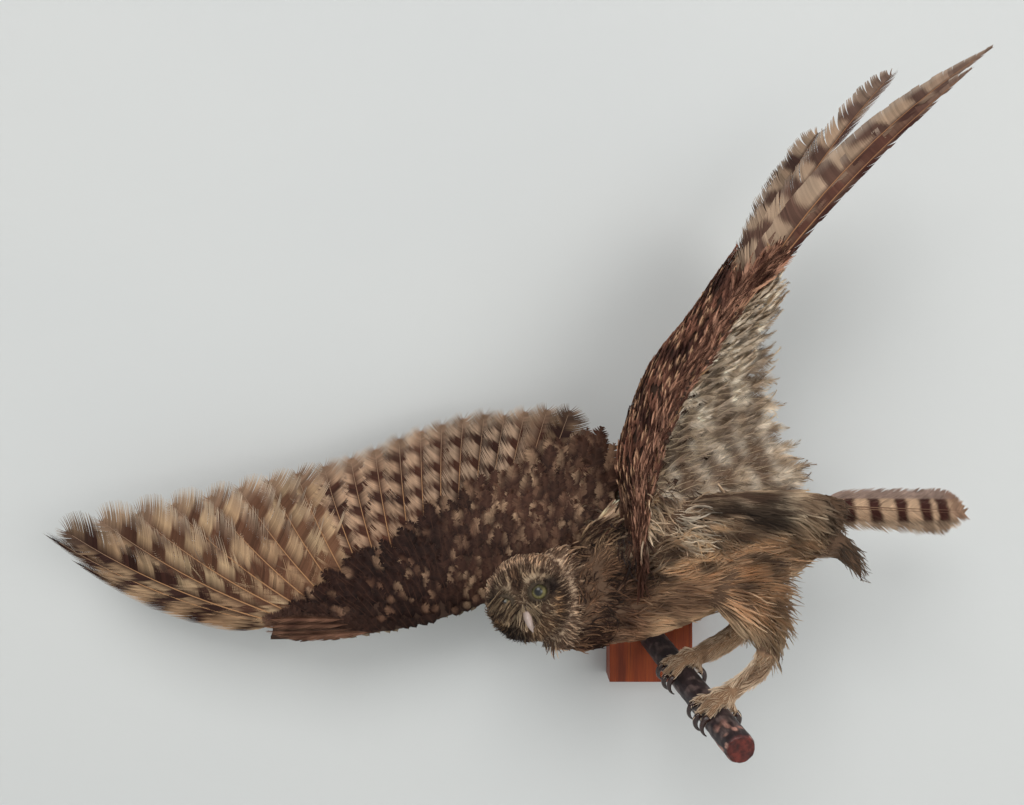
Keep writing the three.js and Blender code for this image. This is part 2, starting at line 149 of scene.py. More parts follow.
HEAD_CENTRE = np.array([-65.5, -86, 36.0])
HEAD_FORWARD = unit(np.array([-0.23, -0.97, 0.03]))
HEAD_UP = square_to(np.array([-0.37, 0, 0.93]), HEAD_FORWARD)
HEAD_LEFT = np.cross(HEAD_UP, HEAD_FORWARD)
EYE_SIDE, EYE_UP, EYE_FORWARD = 8.2, 2.2, 15.2  # of an eye's centre from the head's
EYE_RADIUS, LID_RADIUS = 4.6, 5.2
BRANCH_ROOT = np.array([0.5, -20.3, 1.5])
BRANCH_END = np.array([25.4, -127, -23.5])
BRANCH_AXIS = unit(BRANCH_END - BRANCH_ROOT)
BRANCH_RADIUS, BRANCH_TAPER = 7.3, 0.94
BRANCH_LENGTH = np.linalg.norm(BRANCH_END - BRANCH_ROOT)


def head_way(forward, up, left=0.0):
    """Vectors given along the head's own axes, by numbers or rows of numbers."""
    outer = np.multiply.outer
    return outer(forward, HEAD_FORWARD) + outer(up, HEAD_UP) + outer(left, HEAD_LEFT)


def head_point(forward, up, left=0.0):
    """A place given along the head's own axes."""
    return HEAD_CENTRE + head_way(forward, up, left)


def in_head(points):
    """Points as (left, up, forward) of the head's centre."""
    return (points - HEAD_CENTRE) @ np.stack([HEAD_LEFT, HEAD_UP, HEAD_FORWARD], axis=1)


def eye_distance(places):
    """How far (left, up, forward) places lie from the nearer eye's middle, seen from the front."""
    return np.hypot(np.abs(places[:, 0]) - EYE_SIDE, places[:, 1] - EYE_UP)


def eye_axes(side, outwards):
    """The way an eye looks, turned outwards a little, with its own up and left."""
    look = unit(HEAD_FORWARD + HEAD_LEFT * side * outwards)
    up = square_to(HEAD_UP, look)
    return look, up, np.cross(up, look)


class Wing:
    """A wing as the solids have it: a section at each place along its span, 0 to 1 from the shoulder."""

    def __init__(self, leading, trailing, back, hollow, up):
        self.leading, self.trailing, self.up = leading, trailing, np.array(up)
        self.heights = [(b, h, 0) for b, h in zip(back, hollow)]

    def normal(self, span):
        """The upper side's own direction at places along the span."""
        nose, tip = curve(self.leading, span), curve(self.trailing, span)
        outer, inner = np.minimum(span + 0.02, 1), np.maximum(span - 0.02, 0)
        spanwise = curve(self.leading, outer) - curve(self.leading, inner)
        normal = unit(np.cross(tip - nose, spanwise))
        return normal * np.where(dot(normal, self.up) < 0, -1, 1)

    def place(self, span, chord, upper, lift=0.0):
        """Points of the upper or the under side; `lift` stands them off it, outwards."""
        span, chord = np.broadcast_arrays(np.asarray(span, float), np.asarray(chord, float))
        span = np.minimum(span, 0.995)
        slope = -0.126 * chord - 0.3516 * chord ** 2 + 0.2843 * chord ** 3 - 0.1015 * chord ** 4
        profile = (0.2969 * np.sqrt(np.maximum(chord, 0)) + slope) / 0.1
        height = curve(self.heights, span)
        rim = np.minimum(0.5, chord * 8)
        offset = height[..., 0] * profile + rim if upper else height[..., 1] * profile - rim
        offset = offset + (lift if upper else -lift)
        nose, tip = curve(self.leading, span), curve(self.trailing, span)
        return nose + (tip - nose) * chord[..., None] + self.normal(span) * offset[..., None]

    def axes(self, span, chord, upper):
        """Unit directions over a side: to the trailing edge, to the tip, and outwards."""
        step = 0.02
        here = self.place(span, chord, upper)
        back = unit(self.place(span, np.minimum(chord + step, 1.02), upper) - here)
        out = unit(self.place(np.minimum(span + step, 0.999), chord, upper) - here)
        normal = unit(np.cross(back, out))
        wanted = self.normal(np.minimum(span, 0.995)) * (1 if upper else -1)
        return back, out, normal * np.where(dot(normal, wanted) < 0, -1, 1)


RIGHT_WING = Wing(
    [(-24, -50, 50), (-56, -50, 38), (-90, -48, 23), (-128, -46, 11), (-170, -46, 6),
     (-208, -47, 6), (-246, -48, 20), (-284, -51, 38), (-311, -54, 64)],
    [(-22, -46, 88), (-32, -40, 112), (-46, -36, 130), (-93, -33, 127), (-131, -36, 117),
     (-182, -40, 100), (-230, -45, 88), (-284, -51, 77), (-312, -54, 67)],
    [9, 9, 8, 8, 7, 5, 3, 1.5, 0.6], [-5, -4, -3, -3, -2, -1, 0, 0, 0], (0, -1, 0))
LEFT_WING = Wing(
    [(-17, -100, 42), (-14, -107, 66), (-10, -110, 92), (2, -111, 127), (16, -112, 150),
     (32, -112, 175), (52, -112, 198), (83, -113, 232), (115, -115, 265), (143, -112, 291)],
    [(72, -48, 78), (74, -42, 92), (67, -34, 112), (64, -32, 133), (63, -32, 158),
     (68, -36, 194), (50, -46, 222), (64, -58, 252), (99, -86, 284), (143, -111, 293)],
    [14, 29, 40, 36, 28, 22, 15, 7, 3, 0.6], [-2, 5, 12, 12, 9, 6, 4, 1, 0.3, 0], (-0.9, 0.3, 0.3))


# ---- Meshes ----

def linked(name, data):
    """A new object of the scene."""
    obj = bpy.data.objects.new(name, data)
    bpy.context.scene.collection.objects.link(obj)
    return obj


def mesh_object(name, verts, faces, tint=None, uv=None):
    """An object from vertices in millimetres, equal faces, vertex colours and one UV per vertex."""
    mesh = bpy.data.meshes.new(name)
    verts = np.ascontiguousarray(verts, dtype=np.float32).reshape(-1, 3)
    faces = np.ascontiguousarray(faces, dtype=np.int32)
    count, sides = faces.shape
    mesh.vertices.add(len(verts))
    mesh.vertices.foreach_set("co", (verts * MM).ravel())
    mesh.loops.add(count * sides)
    mesh.loops.foreach_set("vertex_index", faces.ravel())
    mesh.polygons.add(count)
    mesh.polygons.foreach_set("loop_start", np.arange(0, count * sides, sides, dtype=np.int32))
    mesh.polygons.foreach_set("use_smooth", np.full(count, True))
    mesh.update(calc_edges=True)
    if uv is not None:
        layer = mesh.uv_layers.new(name=BAKE_MAP)
        layer.data.foreach_set("uv", np.asarray(uv, np.float32)[faces.ravel()].ravel())
    if tint is not None:
        set_tint(mesh, tint)
    return linked(name, mesh)


def polygon_object(name, verts, faces):
    """A smooth object from vertices in millimetres and faces of any number of corners."""
    mesh = bpy.data.meshes.new(name)
    mesh.from_pydata((np.asarray(verts) * MM).tolist(), [], faces)
    mesh.polygons.foreach_set("use_smooth", np.full(len(mesh.polygons), True))
    return linked(name, mesh)


def set_tint(mesh, tint):
    """The vertex colours that the materials read."""
    layer = mesh.color_attributes.new("tint", "FLOAT_COLOR", "POINT")
    rgba = np.ones((len(mesh.vertices), 4), np.float32)
    rgba[:, :3] = np.clip(tint, 0, 1)
    layer.data.foreach_set("color", rgba.ravel())


def finish_piece(obj, material, slot, *nodes):
    """Gives a piece its material, fixes it to the one body, and lets it stand for CAD nodes; `slot` is not
    used.
    """
    obj.data.materials.clear()
    obj.data.materials.append(material)
    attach(obj, "root")
    if nodes:
        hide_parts(*nodes)


def ring_quads(rows, sides):
    """Quads between rings of `sides` points that follow one another."""
    i, k = np.meshgrid(np.arange(rows - 1), np.arange(sides), indexing="ij")
    a, b = i * sides + k, i * sides + (k + 1) % sides
    return np.stack([a, b, b + sides, a + sides], axis=-1).reshape(-1, 4)


def tube(path, radii, sides, across, squash=1.0):
    """Vertices and faces of a round tube, closed with a fan over each end."""
    path, radii = np.asarray(path, float), np.asarray(radii, float)
    tangent = unit(np.gradient(path, axis=0))
    wide = square_to(across, tangent)
    high = np.cross(tangent, wide)
    angle = np.linspace(0, 2 * math.pi, sides, endpoint=False)
    ring = (wide[:, None] * np.cos(angle)[None, :, None]
            + high[:, None] * np.sin(angle)[None, :, None] * squash) * radii[:, None, None]
    verts = np.vstack([(path[:, None] + ring).reshape(-1, 3), path[:1], path[-1:]])
    side = np.arange(sides)
    onward = (side + 1) % sides
    last_ring, tip = (len(path) - 1) * sides, len(path) * sides
    start = np.stack([onward, side, np.full(sides, tip)], axis=-1)
    end = np.stack([side + last_ring, onward + last_ring, np.full(sides, tip + 1)], axis=-1)
    return verts, [*map(tuple, ring_quads(len(path), sides)), *map(tuple, start), *map(tuple, end)]


# ---- Feathers ----

def blade_width(t):
    """Half width of a flight feather along its shaft: near parallel, with a blunt rounded end."""
    end = np.sqrt(np.clip(1 - (np.clip(t - 0.88, 0, None) / 0.122) ** 2, 0.01, 1))
    return np.minimum(1, (np.maximum(t, 0) / 0.16) ** 0.7 + 0.08) * (1 - 0.06 * t) * end


def sword_width(t):
    """Half width of an outer primary: it narrows over its last third to a point."""
    end = 1 - np.clip((t - 0.5) / 0.51, 0, 1) ** 1.5 * 0.97
    return np.minimum(1, (np.maximum(t, 0) / 0.16) ** 0.7 + 0.08) * end


def leaf_width(t):
    """Half width of a small body feather: widest past its middle, round at the end."""
    end = np.sqrt(np.clip(1 - (np.clip(t - 0.6, 0, None) / 0.405) ** 2, 0.0016, 1))
    return np.minimum(1, (np.maximum(t, 0) / 0.5) ** 0.6 + 0.12) * end


def lance_width(t):
    """Half width of a narrow pointed feather or lock."""
    return np.clip(np.sin(np.clip(t, 0, 1) ** 0.6 * math.pi) ** 0.8 * 0.95 + 0.05, 0.05, 1)


def jitter(along, normal, swing, rise):
    """Turns each feather a little in the surface and lifts its tip off it."""
    count = len(along)
    along = turned(along, normal, rng.normal(0, swing, count))
    side = np.cross(along, normal)
    return turned(along, side, np.asarray(rise) * (0.7 + 0.6 * rng.random(count)))


class Feathers:
    """Feathers of one make, each built barb by barb on its shaft.

    Every array has one row for a feather. `lead` is the part of the width on the side of
    cross(along, normal). `clump` draws barbs together into points, `fray` makes their ends uneven
    and `comb` thins them past `loose` of their length, so that they stand apart like the teeth of a
    comb. They leave the shaft between `start` and `stop` and end `advance` further on. `bow` bends a
    feather in its plane and `droop` out of it, `cup` hollows it, `lift` raises its clumps and `tilt`
    lays each barb over the next. Each vertex then has `t`, its place along the shaft, `v`, its place
    across the vane from -1 to 1, and `u`, its place along its barb.
    """

    def __init__(self, root, along, normal, length, width, *, barbs, steps=3, profile=leaf_width,
                 clump=0.5, clumps=5, fray=0.5, comb=0.7, lead=0.5, bow=0.0, droop=0.0, cup=0.12,
                 start=0.04, advance=0.2, shaft=0.0, lift=0.05, tilt=0.25, loose=0.55,
                 stop=0.985, vary=1.0):
        count = len(root)
        self.count, self.root = count, np.asarray(root, float)
        full = lambda value: np.broadcast_to(np.asarray(value, float), (count,))
        length, width, lead, bow, droop = map(full, (length, width, lead, bow, droop))
        along = unit(np.asarray(along, float))
        normal = square_to(normal, along)
        side = np.cross(along, normal)
        column = lambda a: a[:, None, None, None, None]

        begin = start + (stop - start) * (np.arange(barbs) + 0.5) / barbs
        end, draw, raised = self.clump_ends(begin, advance, clump, clumps)
        reach = 1 - fray * (0.3 * rng.random((count, 2, barbs)) + 0.25 * draw)
        webs = np.stack([width * lead, width * (1 - lead)], axis=1)[..., None]
        lateral = profile(np.clip(end, 0, 1)) * webs * reach
        sign = np.array([1, -1.0])[None, :, None, None, None]

        u = (1 - (1 - np.linspace(0, 1, steps + 1)) ** 1.4)[None, None, None, :, None]
        edge = np.array([-1, 1.0])[None, None, None, None, :]
        foot = begin[None, None, :, None, None]
        t = foot + (end[..., None, None] - foot) * u ** 1.35
        across = lateral[..., None, None] * (u * (1.08 - 0.08 * u))
        half = column(length) / barbs * (1 - start) * 0.66 * (1 - 0.2 * u)
        half = half * (1 - comb * ease(loose, 1.0, u))
        hollow = cup * (across / column(width)) ** 2 * 4
        out = (raised[..., None, None] * lift * u ** 2 - hollow) * column(width) - edge * half * tilt
        along_by = t * column(length) + edge * half
        bent = along_by / column(length)
        over = sign * across + column(bow * length) * 4 * bent * (1 - bent)
        out = out + column(droop * length) * bent ** 2
        axis = lambda v: v[:, None, None, None, None, :]
        barb = axis(self.root) + axis(along) * along_by[..., None] + axis(side) * over[..., None]
        barb = barb + axis(normal) * out[..., None]

        shade = 1 + vary * (0.09 * rng.normal(size=(count, 2, barbs)) + 0.1 * self.clump_shade)
        shade = shade * (1 + 0.1 * vary * rng.normal(size=(count, 1, 1)))
        spread_out = lambda a: np.broadcast_to(a, over.shape).reshape(count, -1)
        self.shade = spread_out(np.clip(shade, 0.5, 1.6)[..., None, None])
        self.t = spread_out(t)
        self.v = spread_out(sign * across / np.maximum(column(width), 1e-6) * 2)
        self.u = spread_out(u)
        self.is_shaft = np.zeros(self.t.shape, bool)
        self.verts = barb.reshape(count, -1, 3)
        strip = np.arange(2 * barbs)[:, None] * (steps + 1) * 2 + np.arange(steps)[None] * 2
        strip = strip.reshape(-1, 1)
        self.quads = np.hstack([strip, strip + 1, strip + 3, strip + 2])
        if shaft:
            self.add_shaft(along, side, normal, length, bow, droop, shaft)

    def clump_ends(self, begin, advance, clump, clumps):
        """Where each barb ends along the shaft, and how far its clump is drawn together and raised."""
        shape = (self.count, 2, clumps + 2)
        phase = rng.random((self.count, 2, 1))
        group = np.floor(begin[None, None] * clumps + phase).astype(int)
        centre = (group + 0.5 - phase) / clumps
        pick = lambda table: np.take_along_axis(table, group, axis=2)
        draw = pick(rng.random(shape))
        raised = pick(rng.normal(size=shape))
        self.clump_shade = pick(rng.normal(size=shape))
        end = np.minimum(begin + advance * (1 - begin) ** 0.4, 1.0)
        return end[None, None] + (centre - begin[None, None]) * clump * draw, draw, raised

    def add_shaft(self, along, side, normal, length, bow, droop, shaft):
        """A ridged shaft of half width `shaft` at its root, which thins towards the tip."""
        rows = 14
        t = np.linspace(0, 0.93, rows)[None, :, None]
        edge = np.array([-1, 0, 1.0])[None, None, :]
        thick = shaft * (1 - 0.8 * t)
        column = lambda a: a[:, None, None]
        over = edge * thick + column(bow * length) * 4 * t * (1 - t)
        out = (1 - np.abs(edge)) * thick * 1.2 + 0.05 + column(droop * length) * t ** 2
        axis = lambda v: v[:, None, None, :]
        place = axis(self.root) + axis(along) * (t * column(length) + 0 * edge)[..., None]
        place = place + axis(side) * over[..., None] + axis(normal) * out[..., None]
        first = self.verts.shape[1]
        t = np.broadcast_to(t, over.shape).reshape(self.count, -1)
        more = {"verts": place.reshape(self.count, -1, 3), "t": t, "v": 0 * t, "u": 0 * t,
                "shade": np.ones_like(t), "is_shaft": np.ones_like(t, bool)}
        for name, values in more.items():
            setattr(self, name, np.concatenate([getattr(self, name), values], axis=1))
        row, k = np.meshgrid(np.arange(rows - 1), np.arange(2), indexing="ij")
        a = (first + row * 3 + k).reshape(-1, 1)
        self.quads = np.vstack([self.quads, np.hstack([a, a + 1, a + 4, a + 3])])

    def coloured(self, tint, shaft_tint=None, depth=0.0):
        """The colour of each vertex, uneven from barb to barb and darker by `depth` near the root, as painted
        shade where the feathers lying over the root would shade it.
        """
        # painted shade: darker towards the root, by `depth`
        tint = tint * (self.shade * (1 - depth + depth * ease(0.0, 0.55, self.t)))[..., None]
        if shaft_tint is not None:
            tint = np.where(self.is_shaft[..., None], shaft_tint, tint)
        return tint


def locks(root, along, normal, length, width, **more):
    """Small pointed tufts of a few barbs."""
    make = {"barbs": 4, "steps": 2, "clump": 0.6, "clumps": 2, "fray": 0.6, "advance": 0.45,
            "profile": lance_width}
    return Feathers(root, along, normal, length, width, **{**make, **more})


class Coat:
    """Gathers feathers and cuts them into pieces small enough to keep."""

    def __init__(self, name, material, slot):
        self.name, self.material, self.slot = name, material, slot
        self.parts = []

    def add(self, feathers, tint, uv):
        """Takes big feathers with the bake map's place of each vertex."""
        self.parts.append((feathers, tint, uv))

    def add_tufts(self, feathers, tint):
        """Small feathers: each is a small patch of the bake map at its root's place on the skin."""
        corner = skin_uv(feathers.root)[:, None]
        local = np.stack([feathers.t - 0.5, feathers.v / 2.5], axis=-1)
        self.add(feathers, tint, np.clip(corner + local * TUFT_PATCH, 0, 1))

    def build(self):
        """Cuts the feathers into pieces of at most MAX_QUADS quads."""
        batch, size, pieces = [], 0, []
        for part in self.parts:
            quads = len(part[0].quads)
            first = 0
            while first < part[0].count:
                room = max(1, (MAX_QUADS - size) // quads)
                last = min(part[0].count, first + room)
                batch.append((part, first, last))
                size += (last - first) * quads
                first = last
                if size + quads > MAX_QUADS:
                    pieces.append(batch)
                    batch, size = [], 0
        if batch:
            pieces.append(batch)
        for number, piece in enumerate(pieces, 1):
            self.write(f"{self.name}_{number}", piece)

    def write(self, name, piece):
        """Makes one piece out of runs of feathers."""
        verts, quads, tints, uvs, first = [], [], [], [], 0
        for (feathers, tint, uv), low, high in piece:
            here = feathers.verts[low:high]
            per = here.shape[1]
            starts = first + np.arange(high - low)[:, None, None] * per
            quads.append((feathers.quads[None] + starts).reshape(-1, 4))
            verts.append(here.reshape(-1, 3))
            tints.append(np.broadcast_to(tint, feathers.verts.shape)[low:high].reshape(-1, 3))
            uvs.append(uv[low:high].reshape(-1, 2))
            first += per * (high - low)
        obj = mesh_object(name, *map(np.vstack, (verts, quads, tints, uvs)))
        finish_piece(obj, self.material, self.slot)


# ---- Materials ----

class Nodes:
    """A short way to write a material's nodes."""

    def __init__(self, name):
        self.material = bpy.data.materials.new(name)
        self.material.use_nodes = True
        self.tree = self.material.node_tree
        self.shader = self.tree.nodes["Principled BSDF"]

    def node(self, kind, **sockets):
        made = self.tree.nodes.new(kind)
        for name, value in sockets.items():
            self.set(made.inputs[name.replace("_", " ")], value)
        return made

    def set(self, socket, value):
        """Links a socket to another, or gives it a value."""
        if isinstance(value, bpy.types.NodeSocket):
            self.tree.links.new(value, socket)
        else:
            socket.default_value = value

    def surface(self, **sockets):
        """Sets the main shader's sockets."""
        for name, value in sockets.items():
            self.set(self.shader.inputs[name.replace("_", " ")], value)

    def mix(self, factor, a, b, blend="MIX"):
        made = self.tree.nodes.new("ShaderNodeMix")
        made.data_type, made.blend_type = "RGBA", blend
        self.set(made.inputs[0], factor)
        self.set(made.inputs[6], a)
        self.set(made.inputs[7], b)
        return made.outputs[2]

    def times(self, a, b):
        return self.mix(1.0, a, b, "MULTIPLY")

    def attribute(self, name="tint", output="Color"):
        """What the mesh says at each vertex."""
        made = self.node("ShaderNodeAttribute")
        made.attribute_name = name
        return made.outputs[output]

    def ramp(self, value, *stops):
        """A run of colours or greys, each at its place from 0 to 1."""
        made = self.node("ShaderNodeValToRGB", Fac=value)
        elements = made.color_ramp.elements
        while len(elements) < len(stops):
            elements.new(0.5)
        for element, (place, shade) in zip(elements, stops):
            element.position = place
            element.color = (*np.broadcast_to(shade, 3), 1)
        return made.outputs["Color"]

    def noise(self, scale, detail=3.0, vector=None, roughness=0.55):
        made = self.node("ShaderNodeTexNoise", Scale=scale, Detail=detail, Roughness=roughness)
        if vector is not None:
            self.set(made.inputs["Vector"], vector)
        return made.outputs["Fac"]

    def place(self, stretch=(1, 1, 1)):
        """The object's own coordinates, stretched."""
        coordinates = self.node("ShaderNodeTexCoord").outputs["Object"]
        return self.node("ShaderNodeMapping", Vector=coordinates, Scale=stretch).outputs["Vector"]

    def bump(self, height, strength, distance):
        made = self.node("ShaderNodeBump", Height=height, Strength=strength, Distance=distance)
        return made.outputs["Normal"]


def plumage_material(name, roughness, sheen, variation):
    """Feather: its colour is worked out for each barb, and varied a little over the bird."""
    n = Nodes(name)
    flecks = n.ramp(n.noise(900, 2), (0.3, 1 - variation), (0.7, 1 + variation))
    n.surface(Base_Color=n.times(n.attribute(), flecks), Roughness=roughness)
    n.surface(Sheen_Weight=sheen, Sheen_Roughness=0.5, Specular_IOR_Level=0.12)
    return n.material


def horn_material(name, dark, light, roughness):
    """Horn with fine streaks along it, a little polished."""
    n = Nodes(name)
    streaks = n.noise(260, 4, n.place((1, 1, 0.3)))
    n.surface(Base_Color=n.mix(streaks, (*dark, 1), (*light, 1)), Roughness=roughness)
    n.surface(Normal=n.bump(n.noise(700, 3), 0.25, 0.0002), Coat_Weight=0.35, Coat_Roughness=0.15)
    return n.material


def bark_material():
    """Dark smooth bark with fine wrinkles along it, and a glossy cut end."""
    n = Nodes("bark")
    wrinkles = n.noise(520, 4, n.place((1, 0.07, 0.9)), 0.6)
    speckle = n.ramp(n.noise(1400, 5), (0.35, 0.75), (0.62, 1.25))
    lines = n.ramp(wrinkles, (0.4, 0.7), (0.62, 1.5))
    n.surface(Base_Color=n.times(n.times(n.attribute(), speckle), lines))
    n.surface(Roughness=n.ramp(n.attribute("gloss", "Fac"), (0.0, 0.55), (1.0, 0.22)))
    n.surface(Normal=n.bump(wrinkles, 0.5, 0.0005), Specular_IOR_Level=0.4)
    return n.material


def block_material():
    """Reddish stained wood, its grain upright, with a thin varnish."""
    n = Nodes("block_wood")
    grain = n.noise(55, 6, n.place((5, 5, 0.35)), 0.6)
    pores = n.noise(420, 3, n.place((4, 4, 0.12)), 0.6)
    stain = n.ramp(grain, (0.25, colour(98, 34, 9)), (0.5, colour(140, 57, 17)), (0.78, colour(166, 77, 25)))
    shade = n.mix(n.ramp(pores, (0.5, 0.0), (0.72, 0.6)), stain, (*colour(74, 28, 14), 1))
    n.surface(Base_Color=shade, Roughness=0.5, Coat_Weight=0.08, Coat_Roughness=0.2,
              Specular_IOR_Level=0.25)
    n.surface(Normal=n.bump(pores, 0.35, 0.0003))
    return n.material


def eye_material():
    """Dull glass, coloured by the mesh."""
    n = Nodes("eye_glass")
    n.surface(Base_Color=n.attribute(), Roughness=0.3, Coat_Weight=0.2, Coat_Roughness=0.06)
    n.surface(Normal=n.bump(n.noise(2500, 2), 0.08, 0.0001))
    return n.material


def skin_material():
    """Dry skin and down, for what shows between the feathers."""
    n = Nodes("skin")
    fibre = n.noise(1600, 4)
    shade = n.times(n.attribute(), n.ramp(fibre, (0.3, 0.7), (0.7, 1.25)))
    n.surface(Base_Color=shade, Roughness=0.85, Normal=n.bump(fibre, 0.6, 0.0004), Specular_IOR_Level=0.2)
    return n.material


FLIGHT = plumage_material("flight_feather", 0.6, 0.0, 0.12)
DOWN = plumage_material("soft_plumage", 0.8, 0.05, 0.18)
FACE = plumage_material("face_plumage", 0.85, 0.05, 0.2)
SKIN = skin_material()


# ---- Camera, light and stage ----

CAMERA = np.array([-74.75, -585.0, 128.1])
FOCAL_PIXELS, PICTURE_WIDTH = 1050.0, 1024.0  # the lens, in pixels of the picture
FLOOR, STAGE_HALF = -330.0, 2500.0
WALL_GAP = 0.5  # between the block's back and the wall of the stage


def add_camera():
    """Square on to the wall, level, and to the left of the block."""
    data = bpy.data.cameras.new("camera")
    data.lens = FOCAL_PIXELS / PICTURE_WIDTH * data.sensor_width
    data.clip_start, data.clip_end = 0.01, 20
    camera = linked("camera", data)
    camera.location = Vector(CAMERA) * MM
    camera.rotation_euler = (math.pi / 2, 0, 0)
    bpy.context.scene.camera = camera


def add_light(name, place, target, size, power, shade=(1, 1, 1)):
    """A square area light that looks at a target, in metres and watts."""
    data = bpy.data.lights.new(name, "AREA")
    data.size, data.energy, data.color = size, power, shade
    light = linked(name, data)
    light.location = place
    light.rotation_euler = (Vector(target) - Vector(place)).to_track_quat("-Z", "Y").to_euler()


def backdrop_material(one_sided):
    """Pale rough wall; a one-sided one is clear from behind."""
    n = Nodes("backdrop")
    rough = n.noise(60, 6)
    shade = n.ramp(n.noise(6, 3), (0.3, colour(203, 206, 207)), (0.7, colour(210, 212, 211)))
    n.surface(Base_Color=shade, Roughness=0.9, Normal=n.bump(rough, 0.35, 0.001))
    if one_sided:
        clear = n.node("ShaderNodeBsdfTransparent")
        choose = n.node("ShaderNodeMixShader")
        n.set(choose.inputs[0], n.node("ShaderNodeNewGeometry").outputs["Backfacing"])
        n.set(choose.inputs[1], n.shader.outputs[0])
        n.set(choose.inputs[2], clear.outputs[0])
        n.set(n.tree.nodes["Material Output"].inputs["Surface"], choose.outputs[0])
    return n.material


def add_stage():
    """A pale wall that can be seen only from the bird's side, and a pale floor well below."""
    half, back = STAGE_HALF, WALL_GAP
    face = [(0, 1, 2, 3)]
    wall = [(-half, back, FLOOR), (half, back, FLOOR), (half, back, half), (-half, back, half)]
    floor = [(-half, -half, FLOOR), (half, -half, FLOOR), (half, half, FLOOR), (-half, half, FLOOR)]
    wall, floor = mesh_object("stage_wall", wall, face), mesh_object("stage_floor", floor, face)
    wall.data.materials.append(backdrop_material(True))
    floor.data.materials.append(backdrop_material(False))


def add_lights():
    """A broad key light, a weaker fill and an even pale surround."""
    world = bpy.data.worlds.new("world")
    bpy.context.scene.world = world
    world.use_nodes = True
    world.node_tree.nodes["Background"].inputs["Color"].default_value = (1, 0.995, 0.985, 1)
    world.node_tree.nodes["Background"].inputs["Strength"].default_value = 0.46
    add_light("key", (-0.5, -2.1, 1.7), (0, -0.05, 0.08), 1.5, 33, (1, 0.99, 0.97))
    add_light("fill", (1.3, -2.0, 0.1), (0, -0.05, 0.05), 1.4, 21, (1, 0.985, 0.96))
    bpy.context.scene.view_settings.view_transform = "Standard"


# ---- Skin ----

WING_FLESH = {  # how far the flesh of a wing goes back along the chord, from the shoulder to the wing's hand
    "right": [(0, 0.5), (0.2, 0.45), (0.45, 0.3), (0.6, 0.12)],
    "left": [(0, 0.55), (0.3, 0.5), (0.5, 0.35), (0.56, 0.15)],
}
FLESH_NODES = ["trunk", "neck", "head", "vent", "thigh_left", "thigh_right", "shank_left", "shank_right",
               "foot_left", "foot_right"]
WING_NODES = [f"wing_{side}_{length}" for side in ("left", "right") for length in ("arm", "forearm", "hand")]
COAT_DEPTH = {"trunk": 3.2, "neck": 2.6, "head": 1.3, "lid": 0.1, "vent": 3.0, "thigh": 2.4, "shank": 0.9,
              "foot": 0.45, "wing": 1.5}
SKIN_VOXEL = 1.2  # the grid on which the flesh is melted into one surface


def wing_flesh(wing, reach):
    """The closed flesh of a wing: its sections up to the place that `reach` gives."""
    spans = np.linspace(0.0, reach[-1][0], 40)
    limit = along_table(reach, spans)
    fractions = np.linspace(0, 1, 9) ** 1.6
    chord = limit[:, None] * fractions[None]
    upper = wing.place(spans[:, None] + 0 * chord, chord, True)
    under = wing.place(spans[:, None] + 0 * chord, chord, False)[:, 1:][:, ::-1]
    rings = np.concatenate([upper, under], axis=1)
    rows, sides = rings.shape[:2]
    ends = [tuple(range(sides)), tuple(range((rows - 1) * sides, rows * sides))[::-1]]
    return rings.reshape(-1, 3), [tuple(q) for q in ring_quads(rows, sides)] + ends


def node_arrays(name):
    """Vertices in millimetres and faces of a CAD node."""
    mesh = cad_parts[name].data
    verts = np.empty(len(mesh.vertices) * 3)
    mesh.vertices.foreach_get("co", verts)
    return verts.reshape(-1, 3) / MM, [tuple(p.vertices) for p in mesh.polygons]


def eyelid_rings():
    """Two soft rings round the eyes that become the lids; the upper one comes lower over the eye."""
    turn = np.linspace(0, 2 * math.pi, 33)
    open_to = np.radians(57 - 12 * np.clip(np.sin(turn), 0, 1) ** 1.5 - 4 * np.clip(-np.sin(turn), 0, 1))
    pieces = []
    for side in (1, -1):
        look, up, left = eye_axes(side, 0.25)
        out = left * np.cos(turn)[:, None] + up * np.sin(turn)[:, None]
        ring = look * np.cos(open_to)[:, None] + out * np.sin(open_to)[:, None]
        ring = head_point(EYE_FORWARD, EYE_UP, side * EYE_SIDE) + ring * LID_RADIUS
        pieces.append(tube(ring, np.full(33, 1.15), 10, look))
    return pieces


def melted(sources):
    """One surface round everything that the skin is made from, with its corners rounded off."""
    verts, faces, first = [], [], 0
    for _, points, polygons in sources:
        verts.append(points)
        faces += [tuple(first + i for i in polygon) for polygon in polygons]
        first += len(points)
    skin = polygon_object("skin", np.vstack(verts), faces)
    melt = skin.modifiers.new("melt", "REMESH")
    melt.mode, melt.voxel_size = "VOXEL", SKIN_VOXEL * MM
    settle = skin.modifiers.new("settle", "SMOOTH")
    settle.factor, settle.iterations = 0.5, 2
    dg = bpy.context.evaluated_depsgraph_get()
    shape = bpy.data.meshes.new_from_object(skin.evaluated_get(dg))
    skin.modifiers.clear()
    skin.data = shape
    return skin


